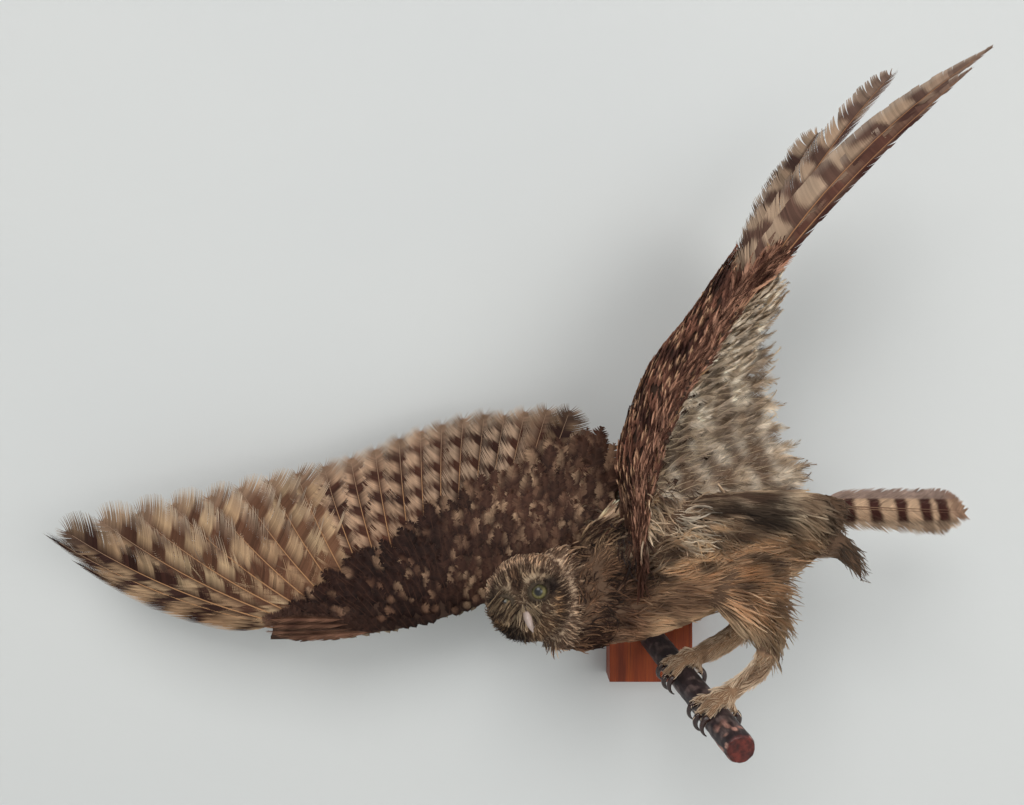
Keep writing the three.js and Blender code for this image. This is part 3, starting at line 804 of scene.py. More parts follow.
def build_skin():
    """Joins the flesh, melts it into one surface and draws it in by the depth of the coat."""
    sources = [(name.split("_")[0], *node_arrays(name)) for name in FLESH_NODES]
    sources.append(("wing", *wing_flesh(RIGHT_WING, WING_FLESH["right"])))
    sources.append(("wing", *wing_flesh(LEFT_WING, WING_FLESH["left"])))
    sources += [("lid", *ring) for ring in eyelid_rings()]
    skin = melted(sources)
    points, normals = skin_arrays(skin.data)
    trees = [(kind, BVHTree.FromPolygons((p * MM).tolist(), f)) for kind, p, f in sources]
    owner = nearest_source(points, trees)
    depth = np.array([COAT_DEPTH[kind] for kind, _ in trees])[owner]
    depth = spread(skin.data, depth, 5)
    skin.data.vertices.foreach_set("co", ((points - normals * depth[:, None]) * MM).ravel())
    skin.data.update()
    skin.data.polygons.foreach_set("use_smooth", np.full(len(skin.data.polygons), True))
    return skin, np.array([kind for kind, _ in trees])[owner]


def skin_arrays(mesh):
    """Vertices in millimetres and their normals."""
    points = np.empty(len(mesh.vertices) * 3)
    mesh.vertices.foreach_get("co", points)
    normals = np.empty(len(mesh.vertices) * 3)
    mesh.vertices.foreach_get("normal", normals)
    return points.reshape(-1, 3) / MM, normals.reshape(-1, 3)


def nearest_source(points, trees):
    """For each point, the number of the source surface that lies nearest."""
    best = np.full(len(points), 1e9)
    owner = np.zeros(len(points), int)
    places = [Vector(p) for p in points * MM]
    for number, (_, tree) in enumerate(trees):
        reach = 4 * MM
        for i, place in enumerate(places):
            distance = tree.find_nearest(place, reach)[3]
            if distance is not None and distance < best[i]:
                best[i], owner[i] = distance, number
    return owner


def spread(mesh, values, rounds):
    """Evens values out over a mesh's edges."""
    edges = np.empty(len(mesh.edges) * 2, int)
    mesh.edges.foreach_get("vertices", edges)
    a, b = edges.reshape(-1, 2).T
    count = np.bincount(np.concatenate([a, b]), minlength=len(values))
    for _ in range(rounds):
        total = np.bincount(a, values[b], len(values)) + np.bincount(b, values[a], len(values))
        values = 0.5 * values + 0.5 * total / np.maximum(count, 1)
    return values


def unwrap(skin):
    """Gives the skin its bake map."""
    bpy.context.view_layer.objects.active = skin
    skin.select_set(True)
    skin.data.uv_layers.new(name=BAKE_MAP)
    bpy.ops.object.mode_set(mode="EDIT")
    bpy.ops.mesh.select_all(action="SELECT")
    bpy.ops.uv.smart_project(angle_limit=math.radians(70), island_margin=0.001)
    bpy.ops.object.mode_set(mode="OBJECT")
    skin.select_set(False)


add_camera()
add_stage()
add_lights()
skin_object, skin_kind = build_skin()
unwrap(skin_object)
skin_points, skin_normals = skin_arrays(skin_object.data)
skin_mesh = skin_object.data
loop_uv = np.empty(len(skin_mesh.loops) * 2)
skin_mesh.uv_layers[BAKE_MAP].data.foreach_get("uv", loop_uv)
face_verts = [tuple(p.vertices) for p in skin_mesh.polygons]
face_start = np.array([p.loop_start for p in skin_mesh.polygons])
face_uv = loop_uv.reshape(-1, 2)[face_start]
skin_tree = BVHTree.FromPolygons((skin_points * MM).tolist(), face_verts)


def skin_uv(roots):
    """The bake map's place of the skin nearest to each root."""
    faces = [skin_tree.find_nearest(Vector(p))[2] for p in np.asarray(roots) * MM]
    return face_uv[faces]


def scatter(kinds, spacing, keep=None, tries=9):
    """Even random places on the skin, with outward normals, where its kind and `keep` allow."""
    quads = np.array([f if len(f) == 4 else (*f, f[-1]) for f in face_verts])
    mask = np.isin(skin_kind[quads[:, 0]], kinds)
    corners = skin_points[quads]
    middle = corners.mean(axis=1)
    if keep is not None:
        mask &= keep(middle)
    area = np.linalg.norm(np.cross(corners[:, 2] - corners[:, 0], corners[:, 3] - corners[:, 1]), axis=1) / 2
    area = np.where(mask, area, 0)
    step = spacing(middle) if callable(spacing) else np.full(len(middle), float(spacing))
    weight = area / step ** 2
    draws = int(weight.sum() * tries)
    picked = rng.choice(len(quads), size=draws, p=weight / weight.sum())
    u, v = rng.random((2, draws, 1))
    c = corners[picked]
    points = (c[:, 0] * (1 - u) + c[:, 1] * u) * (1 - v) + (c[:, 3] * (1 - u) + c[:, 2] * u) * v
    normals = unit(skin_normals[quads[picked]].mean(axis=1))
    chosen = thin_out(points, step[picked])
    return points[chosen], normals[chosen]


def thin_out(points, step):
    """Keeps points, in their order, that lie no nearer to each other than about 0.8 of a step."""
    cells, kept = {}, []
    size = float(step.max())
    keys = np.floor(points / size).astype(int)
    for i, (key, place) in enumerate(zip(map(tuple, keys), points)):
        limit = (0.8 * step[i]) ** 2
        near = (cells.get((key[0] + x, key[1] + y, key[2] + z), ())
                for x in (-1, 0, 1) for y in (-1, 0, 1) for z in (-1, 0, 1))
        if all((place[0] - q[0]) ** 2 + (place[1] - q[1]) ** 2 + (place[2] - q[2]) ** 2 > limit
               for cell in near for q in cell):
            cells.setdefault(key, []).append(place)
            kept.append(i)
    return np.array(kept)


def paint_skin():
    """Colours the skin like what grows on it, and lets it stand for the flesh."""
    tint = np.where(np.isin(skin_kind, ["wing"])[:, None], colour(66, 48, 39), colour(98, 76, 60))
    head = np.isin(skin_kind, ["head", "lid"])
    q = in_head(skin_points)
    # the head's skin takes the head's plumage colour, painted shade on the far side of the face included
    tint = np.where(head[:, None], head_tint(q, noise(skin_points, 1.6, 21)) * 0.8, tint)
    eye = eye_distance(q)
    lid = head & (eye < 5.0) & (q[:, 2] > 8)
    tint = np.where(lid[:, None], mix((46, 37, 31), (84, 72, 58), noise(skin_points, 1.0, 22)), tint)
    leg = np.isin(skin_kind, ["shank", "foot"])
    tint = np.where(leg[:, None], colour(146, 116, 90), tint)
    set_tint(skin_mesh, tint)
    finish_piece(skin_object, SKIN, "flank_plumage", *FLESH_NODES, *WING_NODES)


# ---- Flight feathers ----

PRIMARIES, SECONDARIES = 10, 11  # as the near wing has them; the far wing has 14 secondaries
RIGHT_TIPS = [  # place of each flight feather's tip on the far wing, outermost first, as (x, z)
    (-299.3, 48.7), (-313.0, 62.3), (-306.5, 66.0), (-288.6, 71.2), (-270.5, 74.6), (-252.3, 78.9),
    (-234.4, 82.6), (-217.8, 87.4), (-202.5, 91.2), (-188.0, 94.9), (-173.6, 98.6), (-159.6, 102.7),
    (-146.7, 107.4), (-134.0, 113.0), (-122.5, 117.1), (-111.3, 120.6), (-100.0, 123.7), (-88.7, 125.8),
    (-78.0, 125.2), (-67.0, 127.0), (-55.2, 128.1), (-43.4, 127.4), (-34.9, 113.9), (-29.8, 97.0)]
RIGHT_ROOTS = [  # (x, z) of some of their roots, and which feathers those are
    (-191, 12), (-145, 14), (-140, 15), (-96, 31), (-81, 39), (-58, 53)]
RIGHT_ROOT_AT = [0, 9, 10, 17, 20, 23]
LEFT_FLIGHT = [  # root, tip, width and bend of each flight feather of the near wing, outermost first
    ((37, -111, 180), (133.6, -112, 281.7), 17, 0.035),
    ((34, -110, 178), (143.3, -112, 291.6), 19, 0.07),
    ((31, -105, 176), (107.0, -88, 288.0), 17, 0.045),
    ((30, -98, 173), (77.0, -72, 265.0), 19, 0.04),
    ((29, -91, 170), (66.2, -62, 252.0), 17, 0.035),
    ((28, -84, 166), (61.5, -55, 236.0), 16, 0.03),
    ((28, -77, 162), (58.5, -51, 224.0), 16, 0.02),
    ((29, -70, 158), (56.0, -47, 213.0), 15, 0.02),
    ((30, -64, 154), (57.0, -44, 203.0), 15, 0.01),
    ((31, -58, 150), (62.0, -41, 194.0), 15, 0.0)]


def flight_uv(feathers, first=0, total=None):
    """A rectangle of the bake map for each big feather."""
    columns = int(math.ceil(math.sqrt(total or feathers.count)))
    cell = first + np.arange(feathers.count)
    corner = np.stack([cell % columns, cell // columns], axis=-1)[:, None] / columns
    local = np.stack([feathers.t * 0.94 + 0.02, feathers.v * 0.3 + 0.5], axis=-1)
    return corner + np.clip(local, 0.02, 0.98) / columns


def barred(feathers, length, period, offset, pale, dark, outer, share, soft=1.0):
    """Pale blocks on both webs, half a step apart, and longer than the gaps by `share`."""
    wobble = (noise(feathers.verts, 14, 4) - 0.5) * 0.5
    x = feathers.t * length[:, None] / period + offset[:, None] + wobble
    web = np.where(feathers.v * outer > 0, 0.45, 0.0)
    wave = np.cos((x + web) * 2 * math.pi) + 0.35 * (noise(feathers.verts, 3.0, 5) - 0.5) + share
    block = ease(-0.12 * soft, 0.2 * soft, wave) * ease(0.0, 0.06, np.abs(feathers.v))
    return mix(dark, pale, block)


def spotted(feathers, length, period, offset, pale, dark, size=3.4):
    """Rows of round pale spots on both webs."""
    x = feathers.t * length[:, None] / period + offset[:, None]
    along = np.abs(x - np.round(x)) * period
    across = (np.abs(feathers.v) - 0.5) * 9
    ragged = 1.4 * (noise(feathers.verts, 2.5, 9) - 0.5)
    spot = ease(size * 1.25, size * 0.8, np.hypot(along, across) + ragged)
    return mix(dark, pale, spot)


def right_depth(x):
    """How far the far wing's trailing edge stands off the wall, by its place along the span."""
    edge = sorted((p[0], p[1]) for p in RIGHT_WING.trailing)
    return np.interp(x, [e[0] for e in edge], [e[1] for e in edge])


def right_flight():
    """The far wing's flight feathers, fanned out in front of the wall."""
    tips = np.array(RIGHT_TIPS)
    count = len(tips)
    order = np.arange(count)
    tips = np.stack([tips[:, 0], right_depth(tips[:, 0]), tips[:, 1]], axis=-1)
    places = np.stack([np.interp(order, RIGHT_ROOT_AT, [r[i] for r in RIGHT_ROOTS]) for i in (0, 1)], axis=-1)
    root = np.stack([places[:, 0], np.full(count, -46.5), places[:, 1]], axis=-1)
    along, length = from_to(root, tips)
    normal = np.broadcast_to(np.array([0, -1.0, 0]), along.shape)
    normal = square_to(normal, along)
    side = np.cross(along, normal)
    outwards = np.sign(side @ np.array([-1.0, 0, -0.6]))
    normal = turned(normal, along, -outwards * 0.06)
    primary = order < PRIMARIES
    width = np.interp(order, [0, 1, 3, 9, 20, 23], [17, 22, 27, 27, 26, 22])
    lead = np.where(primary, 0.34, 0.4)
    lead = np.where(outwards > 0, lead, 1 - lead)
    bow = np.interp(order, [0, 2, 9, 23], [0.055, 0.05, 0.03, 0.0]) * outwards
    coat = Coat("flight_right", FLIGHT, "flight_feather")
    for low, high, profile in ((0, 2, sword_width), (2, count, blade_width)):
        part = slice(low, high)
        made = Feathers((root + normal * (order * 0.12)[:, None])[part], along[part], normal[part],
                        length[part], width[part], barbs=150, steps=4, profile=profile, clump=0.1, clumps=46,
                        fray=0.3, comb=0.8, loose=0.66, lead=lead[part], bow=bow[part], droop=-0.02, cup=0.03,
                        start=0.08, advance=0.16, shaft=0.4, lift=0.015, stop=0.955)
        outer = outwards[part][:, None]
        tint, shaft = right_flight_tint(made, order[part], length[part], outer)
        coat.add(made, made.coloured(tint, shaft), flight_uv(made, low, count))
    coat.build()


def right_flight_tint(made, order, length, outer):
    """Colour of vane and shaft on the far wing, feather by feather from the outermost inwards."""
    row = order[:, None]
    inner = ease(1.5, 4.5, row)
    brown = mix((86, 56, 42), (116, 82, 60), noise(made.verts, 22, 6))
    ground = mix((54, 32, 27), brown, inner * 0.8)
    cream = mix((176, 150, 118), (150, 118, 90), noise(made.verts, 18, 12))
    shift = 0.22 * rng.normal(size=len(order))
    bars = barred(made, length, 21.0, np.linspace(0.1, 1.9, len(order)) + shift, cream, ground, outer, 0.25)
    rusty = mix((44, 25, 20), (84, 50, 36), noise(made.verts, 20, 7))
    spots = spotted(made, length, 11.0, np.linspace(0, 3, len(order)) + 2 * shift,
                    colour(172, 140, 114), rusty)
    pale = barred(made, length, 11.0, np.linspace(0, 2, len(order)) + 2 * shift,
                  colour(176, 148, 124), rusty, outer, 0.25)
    second = np.clip((row - 13) / 3, 0, 1) * np.clip((21 - row) / 2, 0, 1) * ease(0.45, 0.62, made.t)
    tint = np.where((row < PRIMARIES)[..., None], bars, mix(spots, pale, second))
    dark_tip = ease(0.72, 0.86, made.t) * np.clip(2.6 - row, 0, 1)
    tint = mix(tint, (50, 29, 26), dark_tip * 0.9)
    dark_inner = ease(19.5, 21, row)
    dark_spots = spotted(made, length, 9.0, 0.3 * order, colour(128, 102, 80), colour(58, 36, 30), 2.6)
    tint = mix(tint, dark_spots, dark_inner)
    inner_web = ease(0.05, -0.3, made.v * outer)
    fringe = ease(0.4, 0.8, made.u) * ease(0.35, 0.75, made.t) * (0.3 + 0.7 * inner_web)
    fringe = np.maximum(fringe, ease(0.84, 0.93, made.t))
    fringe = fringe * (1 - dark_tip * (1 - 0.4 * ease(0.6, 1, made.u))) * (1 - 0.6 * dark_inner)
    loose = mix((138, 112, 92), (182, 164, 144), ease(0.4, 1, made.u))
    tint = mix(tint, loose, fringe * 0.8)
    tint = tint * (0.84 + 0.3 * noise(made.verts, 9.0, 2))[..., None]
    shaft = mix((170, 128, 90), (150, 124, 102), ease(0.6, 0.9, made.t))
    return tint, shaft


def left_places():
    """Roots and tips of the near wing's flight feathers, and the secondaries' places along the span."""
    tip_span = np.concatenate([np.linspace(0.52, 0.16, 9), [0.12, 0.06]])
    root_span = np.concatenate([np.linspace(0.52, 0.2, 9), [0.16, 0.12]])
    root_chord = np.concatenate([np.linspace(0.2, 0.34, 9), [0.4, 0.45]])
    middle = sum(LEFT_WING.place(root_span, root_chord, upper) for upper in (True, False)) / 2
    root = np.vstack([[row[0] for row in LEFT_FLIGHT], middle])
    inner = LEFT_WING.place(tip_span, np.full_like(tip_span, 0.9), True)
    tips = np.vstack([[row[1] for row in LEFT_FLIGHT], inner])
    return root, tips, (tip_span + root_span) / 2


def left_flight():
    """The near wing's flight feathers, raised and seen almost edge-on."""
    root, tips, span = left_places()
    count = len(tips)
    order = np.arange(count)
    along, length = from_to(root, tips)
    width = np.concatenate([[row[2] for row in LEFT_FLIGHT], np.full(SECONDARIES, 20.0)])
    flat = LEFT_WING.normal(np.concatenate([np.linspace(0.8, 0.6, PRIMARIES), span]))
    towards = np.broadcast_to(unit(np.array([-0.45, -0.75, 0.4])), flat.shape)
    normal = mix(flat, towards, np.where(order < PRIMARIES, 0.8, 0.0))
    normal = square_to(normal, along)
    side = np.cross(along, normal)
    outwards = np.sign(side @ np.array([0.5, -1.0, -0.3]))
    lead = np.where(order < 1, 0.18, np.where(order < 3, 0.25, np.where(order < PRIMARIES, 0.35, 0.4)))
    lead = np.where(outwards > 0, lead, 1 - lead)
    bow = -np.concatenate([[row[3] for row in LEFT_FLIGHT], np.zeros(SECONDARIES)]) * outwards
    coat = Coat("flight_left", FLIGHT, "flight_feather")
    for low, high, profile, clump, fray, comb, stop, advance, tilt in (
            (0, 2, sword_width, 0.1, 0.04, 0.0, 0.985, 0.05, 0.02),
            (2, 3, blade_width, 0.5, 0.3, 0.4, 0.97, 0.12, 0.05),
            (3, 4, blade_width, 0.3, 0.3, 0.8, 0.95, 0.15, 0.25),
            (4, count, blade_width, 0.5, 0.45, 0.8, 0.95, 0.15, 0.25)):
        part = slice(low, high)
        made = Feathers((root + normal * (order * 0.12)[:, None])[part], along[part], normal[part],
                        length[part], width[part], barbs=130, steps=7, profile=profile, clump=clump,
                        clumps=30, fray=fray, comb=comb, loose=0.7, lead=lead[part], bow=bow[part],
                        droop=-0.02, cup=0.03, start=0.06, advance=advance, shaft=0.4, lift=0.02,
                        stop=stop, tilt=tilt)
        outer = outwards[part][:, None]
        coat.add(made, left_flight_tint(made, order[part], length[part], outer), flight_uv(made, low, count))
    coat.build()


def left_flight_tint(made, order, length, outer):
    """Colour of the near wing's flight feathers, darkest on the outermost."""
    row = order[:, None]
    ground = mix((86, 62, 52), (66, 44, 38), ease(0.5, 0.9, made.t))
    cream = mix((170, 146, 124), (142, 116, 94), noise(made.verts, 14, 12))
    bars = barred(made, length, 24.0, np.linspace(0, 2.6, len(row)), cream, ground, outer, 0.15, 3.0)
    spots = spotted(made, length, 10.5, np.linspace(0, 3, len(row)),
                    colour(186, 168, 144), colour(104, 84, 68))
    tint = np.where((row < PRIMARIES)[..., None], bars, spots)
    web = ease(0.0, 0.1, made.v * outer)
    tint = mix(tint, (58, 30, 26), np.where(row < 1, 0.9, np.where(row < 2, 0.5, 0.15)) * web)
    tint = mix(tint, (84, 50, 40), np.where(row < 1, 0.75, 0.0) * (1 - web))
    tint = mix(tint, (112, 90, 78), ease(0.7, 0.93, made.t) * (row < 3) * 0.85)
    fringe = ease(0.5, 0.9, made.u) * ease(0.3, 0.6, made.t) * (1 - web)
    tint = mix(tint, (170, 154, 138), fringe * 0.5)
    tint = tint * (0.84 + 0.3 * noise(made.verts, 9.0, 2))[..., None]
    return made.coloured(tint, colour(150, 108, 76))


# ---- Coverts ----

COVERT_EDGE = [  # (x, z) of the line down to which the far wing's coverts reach
    (-206, 6), (-199, 10), (-196, 22), (-166, 42), (-132, 60), (-107, 76), (-81, 88), (-50, 104),
    (-30, 108)]
ALULA = [  # root and tip of each feather of the far wing's alula
    ((-160, -52, 18), (-200.5, -50, 17.5)), ((-158, -52.5, 15.5), (-202.0, -50.5, 14.5)),
    ((-156, -53, 13.5), (-200.0, -51, 12.0)), ((-152, -53.5, 12.5), (-194.0, -51.5, 9.8)),
    ((-146, -54, 12), (-184.0, -52, 8.6))]


def covert_field(wing, upper, spacing, reach, lean, length, width, keep=None):
    """Places all over one side of a wing up to the chord that `reach` gives, with their lie and size."""
    draws = int(90000 / spacing ** 2)
    span = rng.random(draws) * reach[-1][0]
    chord = rng.random(draws)
    spanwise = curve(wing.leading, span + 0.005) - curve(wing.leading, span - 0.005)
    chordwise = curve(wing.trailing, span) - curve(wing.leading, span)
    weight = np.linalg.norm(spanwise, axis=-1) * np.linalg.norm(chordwise, axis=-1)
    inside = (rng.random(draws) < weight / weight.max()) & (chord < along_table(reach, span))
    span, chord = span[inside], chord[inside]
    root = wing.place(span, chord, upper, -1.2)
    if keep is not None:
        inside = keep(root)
        span, chord, root = span[inside], chord[inside], root[inside]
    chosen = thin_out(root, np.full(len(root), float(spacing)))
    span, chord, root = span[chosen], chord[chosen], root[chosen]
    back, out, normal = wing.axes(span, chord, upper)
    angle = along_table(lean, span)[:, None]
    along = unit(back * np.cos(angle) + out * np.sin(angle))
    size = 0.85 + 0.3 * rng.random(len(root))
    grow = np.clip(chord / np.maximum(along_table(reach, span), 0.05), 0, 1)
    lengths = (length[0] + (length[1] - length[0]) * grow ** 1.3) * size
    widths = (width[0] + (width[1] - width[0]) * grow ** 1.3) * size
    return span, chord, root, along, normal, lengths, widths


def right_coverts():
    """Dark spotted feathers over both sides of the far wing's arm."""
    def keep(root):
        limit = np.interp(root[:, 0], [p[0] for p in COVERT_EDGE], [p[1] for p in COVERT_EDGE], left=-99)
        hidden = (root[:, 0] < -186) & (root[:, 2] < 15)
        return (root[:, 2] < limit - 8) & ~hidden
    lean = [(0, 0.1), (0.3, 0.35), (0.45, 0.8), (0.62, 1.25)]
    coat = Coat("coverts_right", FLIGHT, "flight_feather")
    for upper, reach in ((True, [(0, 0.85), (0.62, 0.85)]), (False, [(0, 0.6), (0.35, 0.45), (0.5, 0.2)])):
        field = covert_field(RIGHT_WING, upper, 3.9, reach, lean, (9, 20), (7, 12), keep if upper else None)
        span, chord, root, along, normal, length, width = field
        along = jitter(along, normal, 0.13, 0.12)
        made = Feathers(root, along, normal, length, width, barbs=20, steps=2, clump=0.45, clumps=6, fray=0.5,
                        comb=0.7, droop=-0.08, shaft=0.14, bow=rng.normal(0, 0.04, len(root)))
        by_body = ease(-130, -70, made.verts[..., 0])
        dark = mix((33, 17, 13), (58, 36, 28), by_body) if upper else colour(140, 124, 104)
        dark = dark * (0.6 + 0.9 * noise(made.verts, 11, 3))[..., None]
        spot_side = rng.choice([-1, 1], made.count)[:, None]
        size = (0.08 + 0.12 * rng.random(made.count))[:, None]
        far = np.hypot((made.t - 0.66) * 0.6, (made.v - 0.34 * spot_side) * 0.4)
        far = far + 0.16 * (noise(made.verts, 2.4, 72) - 0.5)
        spot = ease(size + 0.12, size - 0.05, far)
        has = (rng.random(made.count)[:, None] < (0.25 + 0.4 * by_body if upper else 0.2))
        shade = mix((96, 68, 53), (172, 142, 114), rng.random((made.count, 1)) ** 1.5 * (0.5 + 0.5 * by_body))
        tint = mix(dark, shade, spot * has * 0.9)
        streak = ease(0.16, 0.02, np.abs(made.v)) * ease(0.2, 0.5, made.t)
        tint = mix(tint, (104, 74, 58), streak * (0.1 + 0.2 * by_body))
        edge = ease(0.6, 1, made.u) * ease(0.5, 0.85, made.t)
        tint = mix(tint, mix((52, 35, 30), (128, 100, 80), by_body), edge * 0.4)
        rusty = ease(-120, -190, root[:, 0])[:, None] * ease(24, 12, root[:, 2])[:, None]
        tint = mix(tint, mix((60, 38, 32), (118, 88, 74), made.u), rusty * 0.5)
        coat.add_tufts(made, made.coloured(tint, colour(70, 46, 36), 0.35))
    coat.build()


def alula():
    """The few stiff feathers at the far wing's leading edge."""
    root, tip = np.array(ALULA, float).transpose(1, 0, 2)
    along, length = from_to(root, tip)
    normal = np.broadcast_to(np.array([0, -1.0, 0]), along.shape)
    bow = rng.normal(0.02, 0.03, len(root))
    made = Feathers(root, along, normal, length, 5.5, barbs=50, clumps=14, fray=0.7, advance=0.3,
                    shaft=0.14, lift=0.04, cup=0.08, lead=0.4, stop=0.97, bow=bow)
    tint = mix((76, 49, 40), (146, 108, 87), noise(made.verts, 4, 71))
    tint = mix(tint, (150, 118, 94), ease(0.6, 1, made.u) * 0.4)
    coat = Coat("alula_right", FLIGHT, "flight_feather")
    coat.add(made, made.coloured(tint, colour(88, 60, 46)), flight_uv(made))
    coat.build()


def left_upper_coverts(coat):
    """Dark feathers with pale streaks that lie along the near wing's upper side."""
    reach = [(0, 0.8), (0.3, 0.75), (0.45, 0.65), (0.57, 0.6)]
    lean = [(0, 1.4), (0.1, 1.3), (0.4, 1.2), (0.6, 1.15)]
    span, chord, root, along, normal, length, width = covert_field(
        LEFT_WING, True, 2.9, reach, lean, (9, 15), (4.5, 8))
    along = jitter(along, normal, 0.12, 0.1)
    length = length * along_table([(0, 0.7), (0.1, 1), (0.42, 1), (0.57, 0.75)], span)
    made = Feathers(root, along, normal, length, width, barbs=12, steps=2, clump=0.6, clumps=4, fray=0.5,
                    droop=-0.06, shaft=0.12, profile=lance_width, advance=0.35)
    dark = mix((54, 30, 25), (134, 90, 73), ease(0.35, 0.7, noise(made.verts, 10, 3)))
    streak = ease(0.6, 0.1, np.abs(made.v)) * ease(0.35, 0.6, made.t) * ease(1.0, 0.85, made.t)
    share = along_table([(0, 0.6), (0.45, 0.45), (0.56, 0.2)], span)
    pale = (rng.random(made.count) < share)[:, None]
    tint = mix(dark, (208, 166, 132), streak * pale * 0.95)
    coat.add_tufts(made, made.coloured(tint, colour(84, 54, 42), 0.35))


def left_under_coverts(coat):
    """Long pale feathers of the near wing's inner side, greyer low down and brown by the ridge."""
    reach = [(0, 0.9), (0.2, 0.87), (0.35, 0.79), (0.5, 0.82), (0.58, 0.78), (0.63, 0.6)]
    lean = [(0, -0.15), (0.15, -0.15), (0.3, 0.05), (0.45, 0.4), (0.6, 0.8)]
    span, chord, root, along, normal, length, width = covert_field(
        LEFT_WING, False, 3.9, reach, lean, (17, 25), (7.5, 10.5), lambda place: place[:, 2] > 82)
    along = jitter(along, normal, 0.16, 0.1)
    length = length * along_table([(0, 0.5), (0.12, 1), (0.63, 0.9)], span)
    made = Feathers(root, along, normal, length, width, barbs=24, clump=0.45, clumps=8, fray=0.55,
                    comb=0.6, droop=-0.06, lift=0.035, advance=0.35, shaft=0.12, cup=0.08,
                    profile=lance_width, bow=rng.normal(0, 0.07, len(root)))
    shade = noise(made.verts, 10, 6)
    pale = mix((200, 178, 153), (242, 227, 206), ease(0.3, 0.8, noise(made.verts, 5, 8)))
    tint = mix(pale, (138, 112, 90), ease(0.48, 0.7, shade) * 0.7)
    low = ease(0.34, 0.15, span)[:, None] * (0.35 + 0.65 * ease(0.3, 0.6, shade))
    tint = mix(tint, (112, 87, 69), low * 0.8)
    edge = ease(0.5, 1.0, made.u) * ease(0.5, 0.8, made.t)
    tint = mix(tint, (228, 214, 194), edge * 0.4)
    ridge = ease(0.16, 0.06, chord)[:, None]
    tint = mix(tint, (176, 134, 92), ridge * 0.85)
    coat.add_tufts(made, made.coloured(tint, colour(206, 184, 152), 0.45))


def left_coverts():
    """The small feathers over both sides of the near wing."""
    coat = Coat("coverts_left", FLIGHT, "flight_feather")
    left_upper_coverts(coat)
    left_under_coverts(coat)
    ridge_coverts(coat)
    coat.build()


def ridge_coverts(coat):
    """Small feathers wrapped round the near wing's leading edge, longer over the primaries' roots."""
    for upper, count, deep in ((True, 700, 0.012), (False, 560, 0.03)):
        span = 0.05 + 0.57 * rng.random(count)
        chord = deep * rng.random(count) ** 2
        root = LEFT_WING.place(span, chord, upper, -0.9)
        back, out, normal = LEFT_WING.axes(span, chord, upper)
        hand = ease(0.46, 0.54, span)
        along = jitter(unit(out + 0.15 * back), normal, 0.18, 0.08)
        length = (6 + 3.5 * rng.random(count)) * (1 + 0.8 * hand)
        made = locks(root, along, normal, length, length * 0.36, barbs=8, clump=0.5, clumps=3, fray=0.5,
                     droop=-0.03, advance=0.4)
        chance = rng.random((count, 1))
        buff = mix((88, 60, 46), (158, 124, 92), ease(0.3, 0.7, chance))
        rust = mix((84, 54, 44), (184, 138, 114), ease(0.4, 0.9, chance))
        tint = rust if upper else mix(buff, rust, 0.7 * hand[:, None])
        coat.add_tufts(made, made.coloured(np.broadcast_to(tint, made.verts.shape), None, 0.35))


# ---- Body coat ----

SWIRL = (21.0, 62.0)  # (x, z) of the whorl on the near flank
MIDDLE_DEPTH = -72  # Y of the plane between the near and the far flank


def near_body(middle):
    """True over the trunk and the vent and for the part of a wing that joins them."""
    x, y, z = middle.T
    return (x > -45) & (z < 92) & ((z > 12) | (x > 10)) & (x < 115)


def swirl_distance(x, y, z):
    """How far places lie from the middle of the whorl; the far flank has none."""
    return np.hypot(x - SWIRL[0], z - SWIRL[1]) + 1e3 * (y > MIDDLE_DEPTH)


def shoulder_band(x, y, z):
    """1 on the dark band that runs down from the near wing over the breast."""
    middle = -22 + (85 - z) * 0.2
    band = ease(6.0, 4.0, np.abs(x - middle)) * ease(50, 54, z) * ease(98, 90, z)
    return band * ease(-72, -80, y)


def body_lie(points, normals):
    """The way the plumage runs: tailwards, in a fan from the breast over the thigh, and down the flank."""
    x, y, z = points.T
    low = np.interp(x, [-40, -15, 30, 50, 90], [5, -15, -50, -70, -30])
    high = np.interp(x, [-40, -15, 30, 60, 90], [15, 30, 0, -12, -5])
    angle = low + (high - low) * ease(22, 52, z)
    flank = np.interp(x, [-40, 0, 60, 90], [10, -35, -20, -3])
    angle = angle + (flank - angle) * ease(56, 66, z)
    hanging = ease(76, 84, x) * ease(66, 60, z)
    angle = angle + (-66 - angle) * hanging
    angle = angle + (-78 - angle) * shoulder_band(x, y, z)
    angle = angle + (noise(points, 20, 4) - 0.5) * 60
    round_it = np.degrees(np.arctan2(z - SWIRL[1], x - SWIRL[0])) + 100
    near = ease(6.5, 3.5, swirl_distance(x, y, z))
    turn = np.radians(np.where(near > 0.4, round_it, angle))
    lie = np.stack([np.cos(turn), 0.1 * (noise(points, 12, 5) - 0.5), np.sin(turn)], axis=-1)
    return square_to(lie, normals)


